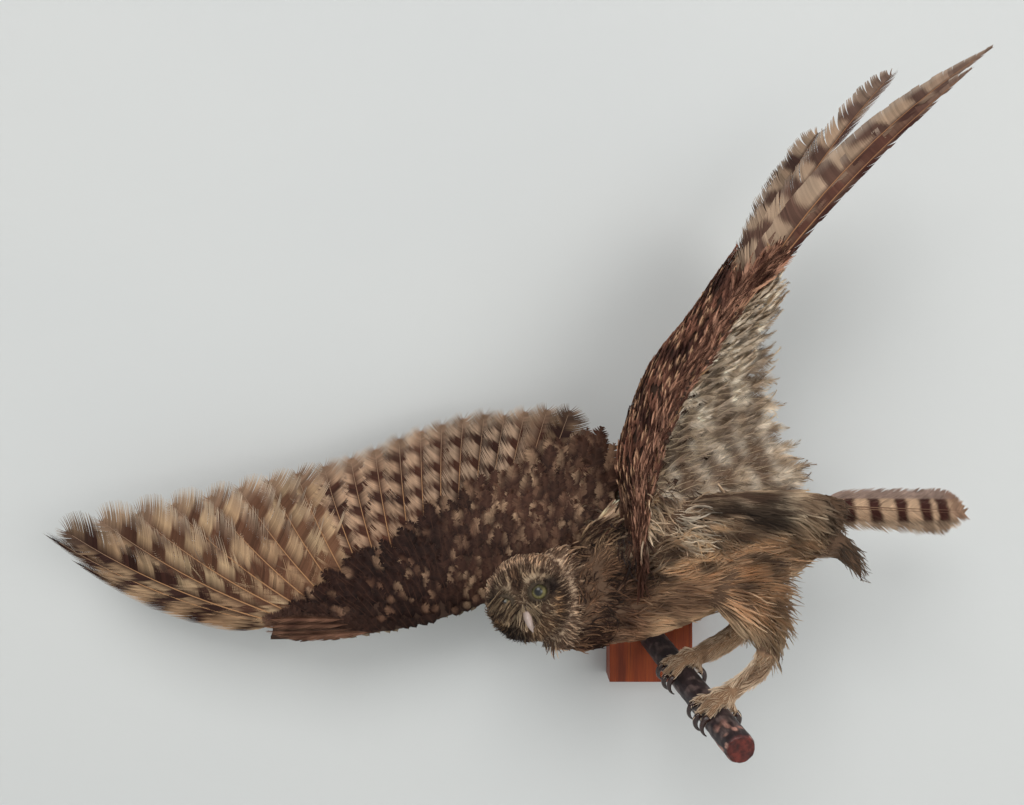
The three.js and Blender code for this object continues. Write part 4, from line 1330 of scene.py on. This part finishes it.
def body_tint(made):
    """Brown and cream over neck and back, grey-cream on the flank, tan along the belly, with painted shade in
    slits between the locks and painted shadow between the near wing and the body.
    """
    x, y, z = np.moveaxis(made.verts, -1, 0)
    near = made.verts
    back = ease(72, 86, z - 0.1 * x)
    chest = ease(-14, -34, x)
    belly = ease(58, 44, z - 0.25 * x) * ease(-30, -14, x) * ease(88, 70, x)
    grey_brown = ease(0.45, 0.72, noise(near, 9, 11))
    base = mix((214, 192, 164), (150, 124, 100), grey_brown * 0.85)
    tan = mix((206, 172, 136), (150, 118, 92), grey_brown)
    base = mix(base, tan, belly * 0.8)
    base = mix(base, (176, 152, 126), belly * ease(34, 48, x) * 0.5)
    leg = ease(34, 16, z) * ease(10, 24, x)
    base = mix(base, (188, 166, 138), leg * 0.8)
    # painted shade: dark slits where the gaps between locks would lie in shadow
    painted_slit_shade = ease(0.62, 0.74, noise(near * np.array([0.35, 1, 1]), 3.2, 17))
    base = mix(base, (84, 58, 44), painted_slit_shade * 0.75)
    # painted shadow: dark in the gap between the near wing and the body
    painted_gap_shadow = ease(63, 70, z + 0.25 * (x - 50)) * ease(96, 90, z) * ease(10, 22, x) * ease(62, 52, x)
    painted_gap_shadow = painted_gap_shadow * ease(-66, -76, y) * ease(0.12, 0.36, noise(near, 7, 18))
    base = mix(base, (50, 34, 28), painted_gap_shadow * 0.92)
    rump = ease(72, 80, x)
    base = mix(base, mix((96, 76, 62), (150, 127, 106), noise(near, 5, 16)), rump)
    hanging = ease(78, 85, x) * ease(66, 58, z)
    base = mix(base, mix((84, 70, 62), (134, 116, 100), noise(near, 4, 20)), hanging * 0.85)
    mottled = mix((104, 80, 66), (196, 168, 138), ease(0.46, 0.68, noise(near, 4.2, 14)))
    mottled = mix(mottled, (46, 32, 26), ease(0.55, 0.75, noise(near, 6, 15)) * 0.75)
    base = mix(base, mottled, np.maximum(chest, back * (1 - rump)))
    fluff = ease(6.5, 3, np.hypot(made.root[:, :1] - 4, (made.root[:, 2:] - 70) * 0.55)) * ease(-72, -80, y)
    base = mix(base, (206, 196, 180), fluff * 0.7)
    band = shoulder_band(*made.root.T)[:, None]
    base = mix(base, mix((50, 32, 27), (98, 64, 50), noise(near, 5, 19)), band * 0.95)
    bright = ease(-20, 8, x) * (1 - 0.8 * rump) * (1 - painted_gap_shadow) * (1 - band) * (1 - 0.6 * leg)
    base = base * (1 + 0.4 * bright)[..., None]
    mantle = ease(-10, -20, x) * ease(68, 78, z) * (1 - band)
    base = base * (1 + 1.9 * mantle)[..., None]
    base = base * (1 - 0.28 * ease(50, 58, x) * ease(58, 68, z))[..., None]
    breast = ease(-4, -16, x) * ease(64, 52, z)
    base = mix(base, base * np.array([0.6, 0.48, 0.45]), breast)
    base = mix(base, (74, 56, 46), ease(2.6, 1.2, swirl_distance(x, y, z)) * 0.8)
    tips = ease(0.7, 1.0, made.t)
    base = mix(base, base * 0.72, tips * belly * 0.7)
    return made.coloured(base, None, 0.22)


def body_coat():
    """Soft pointed feathers over the trunk, the vent, the thighs and the roots of the wings."""
    points, normals = scatter(["trunk", "vent", "thigh", "wing"], 1.6, near_body)
    lie = body_lie(points, normals)
    count = len(points)
    x, z = points[:, 0], points[:, 2]
    hanging = ease(78, 85, x) * ease(66, 58, z)
    chest = ease(-12, -24, x)
    fluff = ease(18, 8, x) * ease(50, 58, z) * (1 - chest)
    thigh = ease(40, 48, x) * ease(52, 44, z)
    whorl = ease(7, 3, swirl_distance(*points.T))
    swing = 0.09 + 0.2 * chest + 0.25 * fluff + 0.12 * hanging
    along = jitter(lie, normals, swing, 0.1 + 0.1 * chest + 0.1 * fluff + 0.3 * hanging)
    length = 11 + 9 * rng.random(count)
    length = length * np.interp(x, [60, 74, 82], [1.0, 0.55, 0.3]) * np.interp(z, [8, 36], [0.4, 1.0])
    shoulder = ease(76, 84, z) * ease(-90, -98, points[:, 1])
    length = length * (1 + 0.35 * hanging) * (1 - 0.15 * chest) * (1 - 0.45 * whorl)
    length = length * (1 - 0.2 * fluff) * (1 - 0.25 * thigh) * (1 - 0.45 * shoulder)
    width = length * (0.085 + 0.05 * chest + 0.03 * fluff) + 0.45
    bow = rng.normal(0, 0.06, count) + 0.14 * (chest + fluff) * rng.normal(size=count)
    made = locks(points - normals * 0.3, along, normals, length, width, barbs=5, clump=0.8, clumps=3,
                 fray=0.7, droop=-0.08, advance=0.55, lift=0.08, bow=bow, vary=0.5)
    coat = Coat("body_coat", DOWN, "flank_plumage")
    coat.add_tufts(made, body_tint(made))
    coat.build()


def neck_coat():
    """A rough collar of short feathers that curl, pale ones among brown."""
    points, normals = scatter(["neck"], 1.3)
    lie = body_lie(points, normals)
    count = len(points)
    curl = (noise(points, 9, 61) - 0.5) * 2.2
    lie = turned(lie, normals, curl)
    under = ease(-0.2, -0.8, normals[:, 2])
    along = jitter(lie, normals, 0.25, 0.2 + 0.1 * under)
    length = (6 + 5 * rng.random(count)) * (1 - 0.1 * under)
    made = locks(points - normals * 0.3, along, normals, length, length * 0.15 + 0.2, steps=3,
                 clump=0.8, droop=-0.2, lift=0.08, bow=rng.normal(0, 0.2, count) + curl * 0.12)
    pale = ease(0.5, 0.66, noise(points, 5.5, 62) * 0.6 + rng.random(count) * 0.45)[:, None]
    brown = mix((50, 35, 30), (94, 70, 57), noise(made.verts, 5, 15))
    tint = mix(brown, (186, 154, 122), pale * 0.9)
    upper = ease(70, 84, made.verts[..., 2])
    tint = tint * mix(np.array([0.66, 0.56, 0.54]), np.ones(3), ease(50, 66, made.verts[..., 2]))
    tint = mix(tint, mix((134, 106, 90), (210, 180, 154), noise(made.verts, 3, 63)), upper * 0.8)
    coat = Coat("neck_coat", DOWN, "brown_plumage")
    coat.add_tufts(made, made.coloured(tint, None, 0.45))
    coat.build()


# ---- Head ----

BROW = [(1.2, -2.0), (2.6, 3.5), (5.2, 8.2), (10.0, 9.4)]  # (side, up) of the pale line over each eye


def line_distance(x, y, points):
    """Distance from (x, y) to a chain of points."""
    best = np.full(np.shape(x), 1e9)
    for (ax, ay), (bx, by) in zip(points, points[1:]):
        dx, dy = bx - ax, by - ay
        t = np.clip(((x - ax) * dx + (y - ay) * dy) / (dx * dx + dy * dy), 0, 1)
        best = np.minimum(best, np.hypot(x - ax - t * dx, y - ay - t * dy))
    return best


def head_lie(points, normals):
    """Away from each eye, away from the root of the bill, and back over the crown."""
    q = in_head(points)
    side = np.where(q[:, 0] > 0, 1.0, -1.0)
    flat = np.zeros(len(q))
    from_eye = np.stack([q[:, 0] - side * EYE_SIDE, q[:, 1] - EYE_UP, flat], axis=-1)
    from_bill = np.stack([q[:, 0], q[:, 1] + 3, flat], axis=-1)
    backwards = np.stack([q[:, 0] * 0.5, q[:, 1] * 0.5, np.full(len(q), -12.0)], axis=-1)
    facing = ease(4, 10, q[:, 2])[:, None]
    close = ease(10, 6, np.linalg.norm(from_eye, axis=1))[:, None]
    radial = unit(from_eye) * close + unit(from_bill) * (1 - close)
    flow = radial * facing + unit(backwards) * (1 - facing)
    lie = flow @ np.stack([HEAD_LEFT, HEAD_UP, HEAD_FORWARD])
    return square_to(lie, normals), facing[:, 0]


def head_tint(places, fleck):
    """Colour of the head's plumage at (left, up, forward) places; `fleck` from 0 to 1 makes it streaky, and
    the far side of the face is darkened as painted shade.
    """
    left, up, forward = np.moveaxis(places, -1, 0)
    side = np.abs(left)
    pale_fleck = ease(0.52, 0.72, fleck)
    crown = mix((112, 88, 72), (206, 178, 150), pale_fleck)
    face = ease(4, 9, forward) * ease(20, 17, np.hypot(left, up + 1.5))
    disc = mix((76, 58, 47), (166, 142, 116), pale_fleck)
    stripe = ease(3.2, 1.8, side) * ease(2, 6, up)
    disc = mix(disc, mix((66, 48, 38), (116, 90, 70), pale_fleck), stripe)
    brow = ease(2.8, 0.6, line_distance(side, up, BROW))
    disc = mix(disc, mix((112, 90, 72), (178, 156, 130), pale_fleck), brow * 0.75)
    dark = ease(4.6, 2.2, np.hypot(side - 14.6, (up - 3.0) * 0.85))
    disc = mix(disc, (36, 25, 23), dark * 0.92)
    # painted shade: the far side of the face darker
    far_side_shade = ease(-3, -8, left)
    disc = mix(disc, disc * 0.6, far_side_shade)
    whisker = ease(-1, -3.5, up) * ease(-10, -7, up) * ease(2, 4, side)
    disc = mix(disc, mix((98, 76, 60), (196, 174, 144), pale_fleck), whisker * 0.7)
    chin = ease(-7, -11, up) * ease(13, 8, side)
    disc = mix(disc, mix((112, 86, 66), (186, 156, 124), pale_fleck), chin * ease(-7, 0, left) * 0.9)
    cheek = ease(11, 14, side) * ease(2, -3, up)
    disc = mix(disc, (172, 134, 98), cheek * pale_fleck * 0.9)
    ring = ease(5.4, 4.2, np.hypot(side - EYE_SIDE, up - EYE_UP))
    disc = mix(disc, (84, 72, 58), ring * 0.5)
    rim = ease(1.8, 0.7, np.abs(np.hypot(left, up + 1.5) - 18.8)) * ease(1, 7, forward)
    shade = mix(crown, disc, face)
    shade = shade * (1 + 0.35 * ease(6, 12, up))[..., None]
    return mix(shade, (50, 36, 30), rim * 0.4 * ease(8, 2, up))


def head_coat():
    """Short feathers over crown, face and lids, with bristles and the far brow."""
    def keep(middle):
        q = in_head(middle)
        return ~((eye_distance(q) < 3.4) & (q[:, 2] > 8))
    spacing = lambda middle: np.where(in_head(middle)[:, 2] > 5, 0.98, 1.2)
    points, normals = scatter(["head", "lid"], spacing, keep)
    lie, facing = head_lie(points, normals)
    count = len(points)
    q = in_head(points)
    shaggy = ease(-4, -10, q[:, 1]) * ease(-3, -9, q[:, 0])
    length = np.where(facing > 0.5, 4.6, 6.0) * (0.75 + 0.5 * rng.random(count)) * (1 + 0.05 * shaggy)
    length = length * (1 - 0.45 * ease(6.5, 4.5, eye_distance(q)) * facing)
    along = jitter(lie, normals, 0.14, np.where(facing > 0.5, 0.26, 0.2) - 0.04 * shaggy)
    made = locks(points - normals * 0.15, along, normals, length, length * 0.25, clump=0.7, droop=-0.14,
                 bow=rng.normal(0, 0.06, count))
    fleck = rng.random(count)[:, None] * 0.85 + 0.25 * noise(made.verts, 1.4, 21) - 0.05
    tint = head_tint(in_head(made.verts), fleck)
    tint = mix(tint, (52, 38, 32), shaggy[:, None] * 0.75)
    coat = Coat("head_coat", FACE, "brown_plumage")
    coat.add_tufts(made, made.coloured(tint, None, 0.35))
    bristles(coat)
    far_brow(coat)
    coat.build()


def bristles(coat):
    """Stiff pale bristles that grow round the root of the bill and lie over it."""
    count = 190
    side = rng.choice([-1.0, 1.0], count)
    out = side * 3.8 * rng.random(count) ** 1.4
    up = -0.5 - 4.6 * rng.random(count)
    root = head_point(18.9 - 0.5 * np.abs(out), up, out)
    along = head_way(0.35, -0.9 - 0.3 * rng.random(count), side * (0.02 + 0.8 * rng.random(count)))
    length = 4.5 + 3.5 * rng.random(count)
    made = locks(root, unit(along), head_way(1.0, 0.3, side * 0.6), length, length * 0.16, fray=0.5,
                 droop=-0.15, advance=0.5)
    pale = rng.random((count, 1)) < 0.55
    tint = np.where(pale[..., None], colour(184, 162, 134), colour(80, 62, 52))
    coat.add_tufts(made, made.coloured(np.broadcast_to(tint, made.verts.shape), None, 0.3))


def far_brow(coat):
    """Longer feathers of the bridge that hang out over the far eye."""
    count = 340
    t = rng.random(count)
    left = -2.8 - 4.4 * t + 0.8 * rng.normal(size=count)
    up = -1.0 + 8.5 * t + 0.7 * rng.normal(size=count)
    root = head_point(18.4 - 1.4 * t, up, left)
    along = head_way(0.5 + 0.2 * rng.random(count), -0.25 - 0.45 * rng.random(count), -0.8)
    normal = np.broadcast_to(head_way(1.0, 0.2, -0.4), root.shape)
    length = 6.5 + 3.5 * rng.random(count)
    made = locks(root, unit(along), normal, length, length * 0.2, barbs=5, droop=-0.2, lift=0.06)
    pale = ease(0.3, 0.6, rng.random((count, 1)))
    tint = mix((70, 53, 43), (160, 137, 110), pale)
    coat.add_tufts(made, made.coloured(np.broadcast_to(tint, made.verts.shape), None, 0.4))


def eye_tint(ring, polar, turn):
    """Iris, pupil and the dark back of the ball, by each ring's radius and angle from the middle, with
    painted shade over the upper iris.
    """
    away = np.repeat(ring, len(turn))
    front = np.repeat(np.cos(polar) > 0, len(turn))
    streak = noise(np.stack([np.cos(turn), np.sin(turn), 0 * turn], axis=-1) * 9, 1.0, 3)
    iris = mix((86, 78, 44), (128, 118, 72), np.tile(streak, len(ring)))
    iris = mix(iris, (66, 58, 26), ease(2.5, 1.8, away) * 0.7)
    iris = mix(iris, (62, 56, 34), ease(2.9, 3.5, away) * 0.85)
    # painted shade: the iris darker towards its top, where the upper lid and brow would shade it
    height = (ring[:, None] * np.sin(turn)).reshape(-1)
    iris = iris * (1 - 0.6 * ease(-1.0, 2.0, height))[:, None]
    tint = mix(iris, (10, 9, 9), ease(2.05, 1.6, away))
    return np.where(front[:, None], tint, colour(8, 7, 8))


def eyes():
    """Glass eyes: a domed ball with a dark pupil and a streaked iris of dull yellow."""
    material = eye_material()
    rows, columns = 41, 48
    polar = (np.arange(rows) / (rows - 1)) ** 1.4 * math.pi
    turn = np.arange(columns) / columns * 2 * math.pi
    radius = EYE_RADIUS + 0.25 * ease(0.75, 0.2, polar)
    ring = np.sin(polar) * radius
    tint = eye_tint(ring, polar, turn)
    uv = np.stack([np.tile(turn / 7, rows), np.repeat(polar / 3.3, columns)], axis=-1)
    quads = ring_quads(rows, columns)[:, [0, 3, 2, 1]]
    for side, name in ((1, "left"), (-1, "right")):
        look, up, left = eye_axes(side, 0.15)
        across = left * np.cos(turn)[:, None] + up * np.sin(turn)[:, None]
        verts = look * (np.cos(polar) * radius)[:, None, None] + ring[:, None, None] * across
        verts = verts + head_point(EYE_FORWARD, EYE_UP, side * EYE_SIDE)
        ball = mesh_object(f"glass_eye_{name}", verts, quads, tint, np.clip(uv, 0, 1))
        finish_piece(ball, material, "eye_glass", f"eye_{name}")


def bill():
    """The hooked bill in two pieces, of pale streaked horn."""
    material = horn_material("bill_horn", colour(128, 108, 98), colour(196, 178, 168), 0.35)
    upper = [(12.5, -4.4), (16.9, -5.4), (19.6, -8.0), (20.2, -11.0), (19.5, -14.2)]
    lower = [(13, -8.9), (16.0, -10.2), (17.9, -12.0), (18.2, -13.0)]
    for name, places, radii, node in (("bill_top", upper, [2.8, 2.4, 1.95, 1.35, 0.25], "bill_upper"),
                                      ("bill_under", lower, [2.2, 1.8, 1.2, 0.35], "bill_lower")):
        t = np.linspace(0, 1, 26)
        path = curve([head_point(f, u) for f, u in places], t)
        size = np.interp(t, np.linspace(0, 1, len(radii)), radii)
        obj = polygon_object(name, *tube(path, size, 20, HEAD_LEFT, 1.15))
        finish_piece(obj, material, "horn", node)


# ---- Legs and feet ----

CLAW_LENGTH, CLAW_BEND, TOE_RADIUS = 10.5, 2.0, 2.4
FEET = {"left": (0.76, -0.4), "right": (0.4, -0.3)}  # place along the branch and turn round it
TOES = [(-7.5, 0.2, 1.5), (0, 0.3, 1.7), (7, 0.2, 1.45), (2, -0.3, -0.85)]  # spread, start and reach


def leg_coat():
    """Short pale down over the shanks and the feet."""
    coat = Coat("leg_coat", DOWN, "leg_plumage")
    for kinds, spacing, size in ((["shank"], 1.05, 4.4), (["foot"], 1.0, 3.0)):
        points, normals = scatter(kinds, spacing)
        count = len(points)
        lie = np.broadcast_to(np.array([-0.8, -0.15, -0.6]), points.shape)
        along = jitter(square_to(lie, normals), normals, 0.14, 0.18)
        length = size * (0.75 + 0.5 * rng.random(count))
        made = locks(points - normals * 0.15, along, normals, length, length * 0.15, clump=0.8,
                     fray=0.7, droop=-0.08, advance=0.5, lift=0.06, vary=0.5)
        pale = mix((214, 188, 160), (236, 216, 190), noise(made.verts, 3, 31))
        # painted shade: the far leg, nearer the wall, a little darker
        far = ease(-80, -64, made.verts[..., 1])
        tint = mix(pale, (156, 124, 98), ease(0.5, 0.8, noise(made.verts, 5, 32)) * 0.6 + far * 0.12)
        coat.add_tufts(made, made.coloured(tint, None, 0.3))
    coat.build()


def round_branch(along, angle, radius):
    """A point beside the branch, at an angle from its top towards -X."""
    top = square_to(np.array([0, 0, 1.0]), BRANCH_AXIS)
    side = -np.cross(top, BRANCH_AXIS)
    side = -side if side[0] > 0 else side
    out = top * math.cos(angle) * radius + side * math.sin(angle) * radius
    return BRANCH_ROOT + BRANCH_AXIS * along + out


def claws():
    """Hooked claws that leave each toe's end and curl in under the branch."""
    material = horn_material("claw_horn", colour(28, 16, 15), colour(64, 38, 32), 0.22)
    out = BRANCH_RADIUS + TOE_RADIUS * 0.85
    t = np.linspace(0, 1, 18)
    for side, (place, turn) in FEET.items():
        for number, (aside, start, reach) in enumerate(TOES, 1):
            middle = lambda s: round_branch(
                place * BRANCH_LENGTH + aside * math.sin(s * math.pi / 2),
                turn + start + (reach - start) * s, out)
            root = middle(1)
            forward = unit(root - middle(0.9))
            inward = round_branch(0, turn + reach, 0) - round_branch(0, turn + reach, 1)
            forward, inward = unit(forward - inward * 0.45), unit(inward + forward * 0.45)
            bend = t * CLAW_BEND
            path = (root + forward * (CLAW_LENGTH * np.sin(bend) / CLAW_BEND)[:, None]
                    + inward * (CLAW_LENGTH * (1 - np.cos(bend)) / CLAW_BEND)[:, None])
            path[0] -= forward * 0.8
            horn = tube(path, 1.5 * (1 - 0.86 * t ** 1.2), 14, BRANCH_AXIS, 1.15)
            hook = polygon_object(f"hook_{side}_{number}", *horn)
            finish_piece(hook, material, "claw_horn", f"claw_{side}_{number}")


# ---- Tail ----

TAIL_ROOT, TAIL_TIP = np.array([78, -71, 77.0]), np.array([147.0, -72, 75.4])
TAIL_ACROSS = np.array([0, -0.5, -0.87])
BAR_PLACES = np.array([77.2, 89.7, 102.2, 114.9, 127.2, 134.8])


def tail_feathers():
    """Twelve barred feathers folded over one another."""
    count = 12
    place = np.linspace(-1, 1, count)
    along = TAIL_TIP - TAIL_ROOT
    across = unit(TAIL_ACROSS)
    uneven = 0.014 * rng.normal(size=(count, 1))
    up = unit(np.cross(along, across))
    up = up if up[1] < 0 else -up
    middle = np.maximum(0, 1 - np.abs(place - 0.15))
    root = TAIL_ROOT + across * (place * 5)[:, None] + up * (middle * 2.4)[:, None]
    reach = 1 + uneven - 0.06 * (place[:, None] + 0.3) ** 2
    tips = TAIL_ROOT + along * reach + across * (place * 8.0 + 0.5)[:, None] + up * (middle * 2.4)[:, None]
    direction, length = from_to(root, tips)
    normal = np.broadcast_to(up, direction.shape)
    normal = turned(square_to(normal, direction), direction, place * 0.2)
    made = Feathers(root, direction, normal, length, 13.0, barbs=90, steps=7, profile=blade_width,
                    clumps=22, fray=0.6, cup=0.05, start=0.05, advance=0.12,
                    shaft=0.4, lift=0.02, loose=0.7, stop=0.95)
    x = made.verts[..., 0] + 1.6 * (noise(made.verts, 3.0, 41) - 0.5)
    dark = ease(3.3, 2.3, np.abs(x[..., None] - BAR_PLACES).min(axis=-1))
    tint = mix((186, 156, 128), (60, 32, 27), dark)
    height = (made.verts - TAIL_ROOT) @ across
    folded = mix((156, 134, 122), (108, 88, 80), np.maximum(dark * 0.5, noise(made.verts, 6, 42) * 0.6))
    tint = mix(tint, folded, ease(-3.0, -4.4, height))
    end = ease(137, 143, x + 3 * noise(made.verts, 3.0, 43))
    tint = mix(tint, (112, 82, 68), end * 0.7)
    pale = mix((172, 148, 124), (112, 88, 72), dark * 0.6)
    tint = mix(tint, pale, ease(7.5, 9.0, height))
    tint = mix(tint, (150, 128, 108), ease(0.7, 1, made.u) * 0.2)
    coat = Coat("tail_feathers", FLIGHT, "flight_feather")
    coat.add(made, made.coloured(tint, colour(110, 84, 66)), flight_uv(made))
    coat.build()
    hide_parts("tail")


# ---- Mount ----

def wall_block():
    """The block keeps its solid, with rounded edges and a material of its own."""
    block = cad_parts["wall_block"]
    bevel = block.modifiers.new("edge", "BEVEL")
    bevel.width, bevel.segments = 0.6 * MM, 3
    block.data.materials.clear()
    block.data.materials.append(block_material())


def branch_surface(t, angle):
    """Places on the bark, row by row along the branch, then in rings over its cut end."""
    wide = square_to(np.array([1.0, 0, 0]), BRANCH_AXIS)
    high = np.cross(BRANCH_AXIS, wide)
    around = wide * np.cos(angle)[:, None] + high * np.sin(angle)[:, None]
    base = BRANCH_ROOT + BRANCH_AXIS * (t * BRANCH_LENGTH)[:, None]
    radius = BRANCH_RADIUS * (BRANCH_TAPER + (1 - BRANCH_TAPER) * t) - 0.35
    local = around[None] * radius[:, None, None] + base[:, None]
    rows, sides = len(t), len(angle)
    grain = noise(np.stack([np.broadcast_to(t[:, None] * BRANCH_LENGTH / 9, (rows, sides)),
                            np.broadcast_to(np.cos(angle)[None] * 6, (rows, sides)),
                            np.broadcast_to(np.sin(angle)[None] * 6, (rows, sides))], axis=-1), 1.0, 51)
    bumpy = 0.35 * (grain - 0.5) + 0.3 * (noise(local, 7, 52) - 0.5) + 0.25 * (noise(local, 2.2, 53) - 0.5)
    rim = 0.5 * (noise(local, 3.0, 59) - 0.5) * ease(0.97, 1.0, t)[:, None]
    round_off = 1 - 0.1 * ease(0.985, 1.0, t)
    verts = base[:, None] + around[None] * ((radius[:, None] + bumpy + rim) * round_off[:, None])[..., None]
    verts[0, :, 1] = BRANCH_ROOT[1]
    cut = [(0.82, -0.1), (0.6, 0.25), (0.35, 0.15), (0.12, 0.3)]
    rings = []
    for share, lift in cut:
        ring = BRANCH_END + around * BRANCH_RADIUS * share
        rings.append(ring + BRANCH_AXIS * (lift + 0.5 * (noise(ring, 2.4, 60) - 0.5))[:, None])
    return np.concatenate([verts, np.array(rings)], axis=0)


def branch():
    """Dark bark, worn through in places near a red cut end."""
    sides = 72
    angle = np.linspace(0, 2 * math.pi, sides, endpoint=False)
    verts = branch_surface(np.linspace(0, 1, 150), angle)
    rows = len(verts)
    flat = verts.reshape(-1, 3)
    ends = [tuple(range(sides))[::-1], tuple(range((rows - 1) * sides, rows * sides))]
    place = (flat - BRANCH_ROOT) @ BRANCH_AXIS / BRANCH_LENGTH
    bark = mix((46, 36, 38), (84, 70, 68), ease(0.45, 0.75, noise(flat, 3.0, 54)))
    worn = ease(0.84, 0.93, place) * ease(0.6, 0.7, noise(flat, 3.2, 57))
    tint = mix(bark, mix((122, 78, 70), (190, 146, 130), noise(flat, 2.6, 56)), worn)
    end = ease(0.985, 0.998, place)
    red = mix((48, 16, 15), (104, 42, 33), noise(flat, 2.0, 58))
    tint = mix(tint, red, end)
    quads = ring_quads(rows, sides)[:, [1, 2, 3, 0]]
    obj = polygon_object("bark_branch", flat, [tuple(q) for q in quads] + ends)
    set_tint(obj.data, tint)
    gloss = obj.data.attributes.new("gloss", "FLOAT", "POINT")
    gloss.data.foreach_set("value", end.astype(np.float32))
    finish_piece(obj, bark_material(), "bark", "branch")


# ---- Make everything ----

paint_skin()
wall_block()
branch()
right_flight()
left_flight()
right_coverts()
alula()
left_coverts()
tail_feathers()
body_coat()
neck_coat()
head_coat()
leg_coat()
eyes()
bill()
claws()
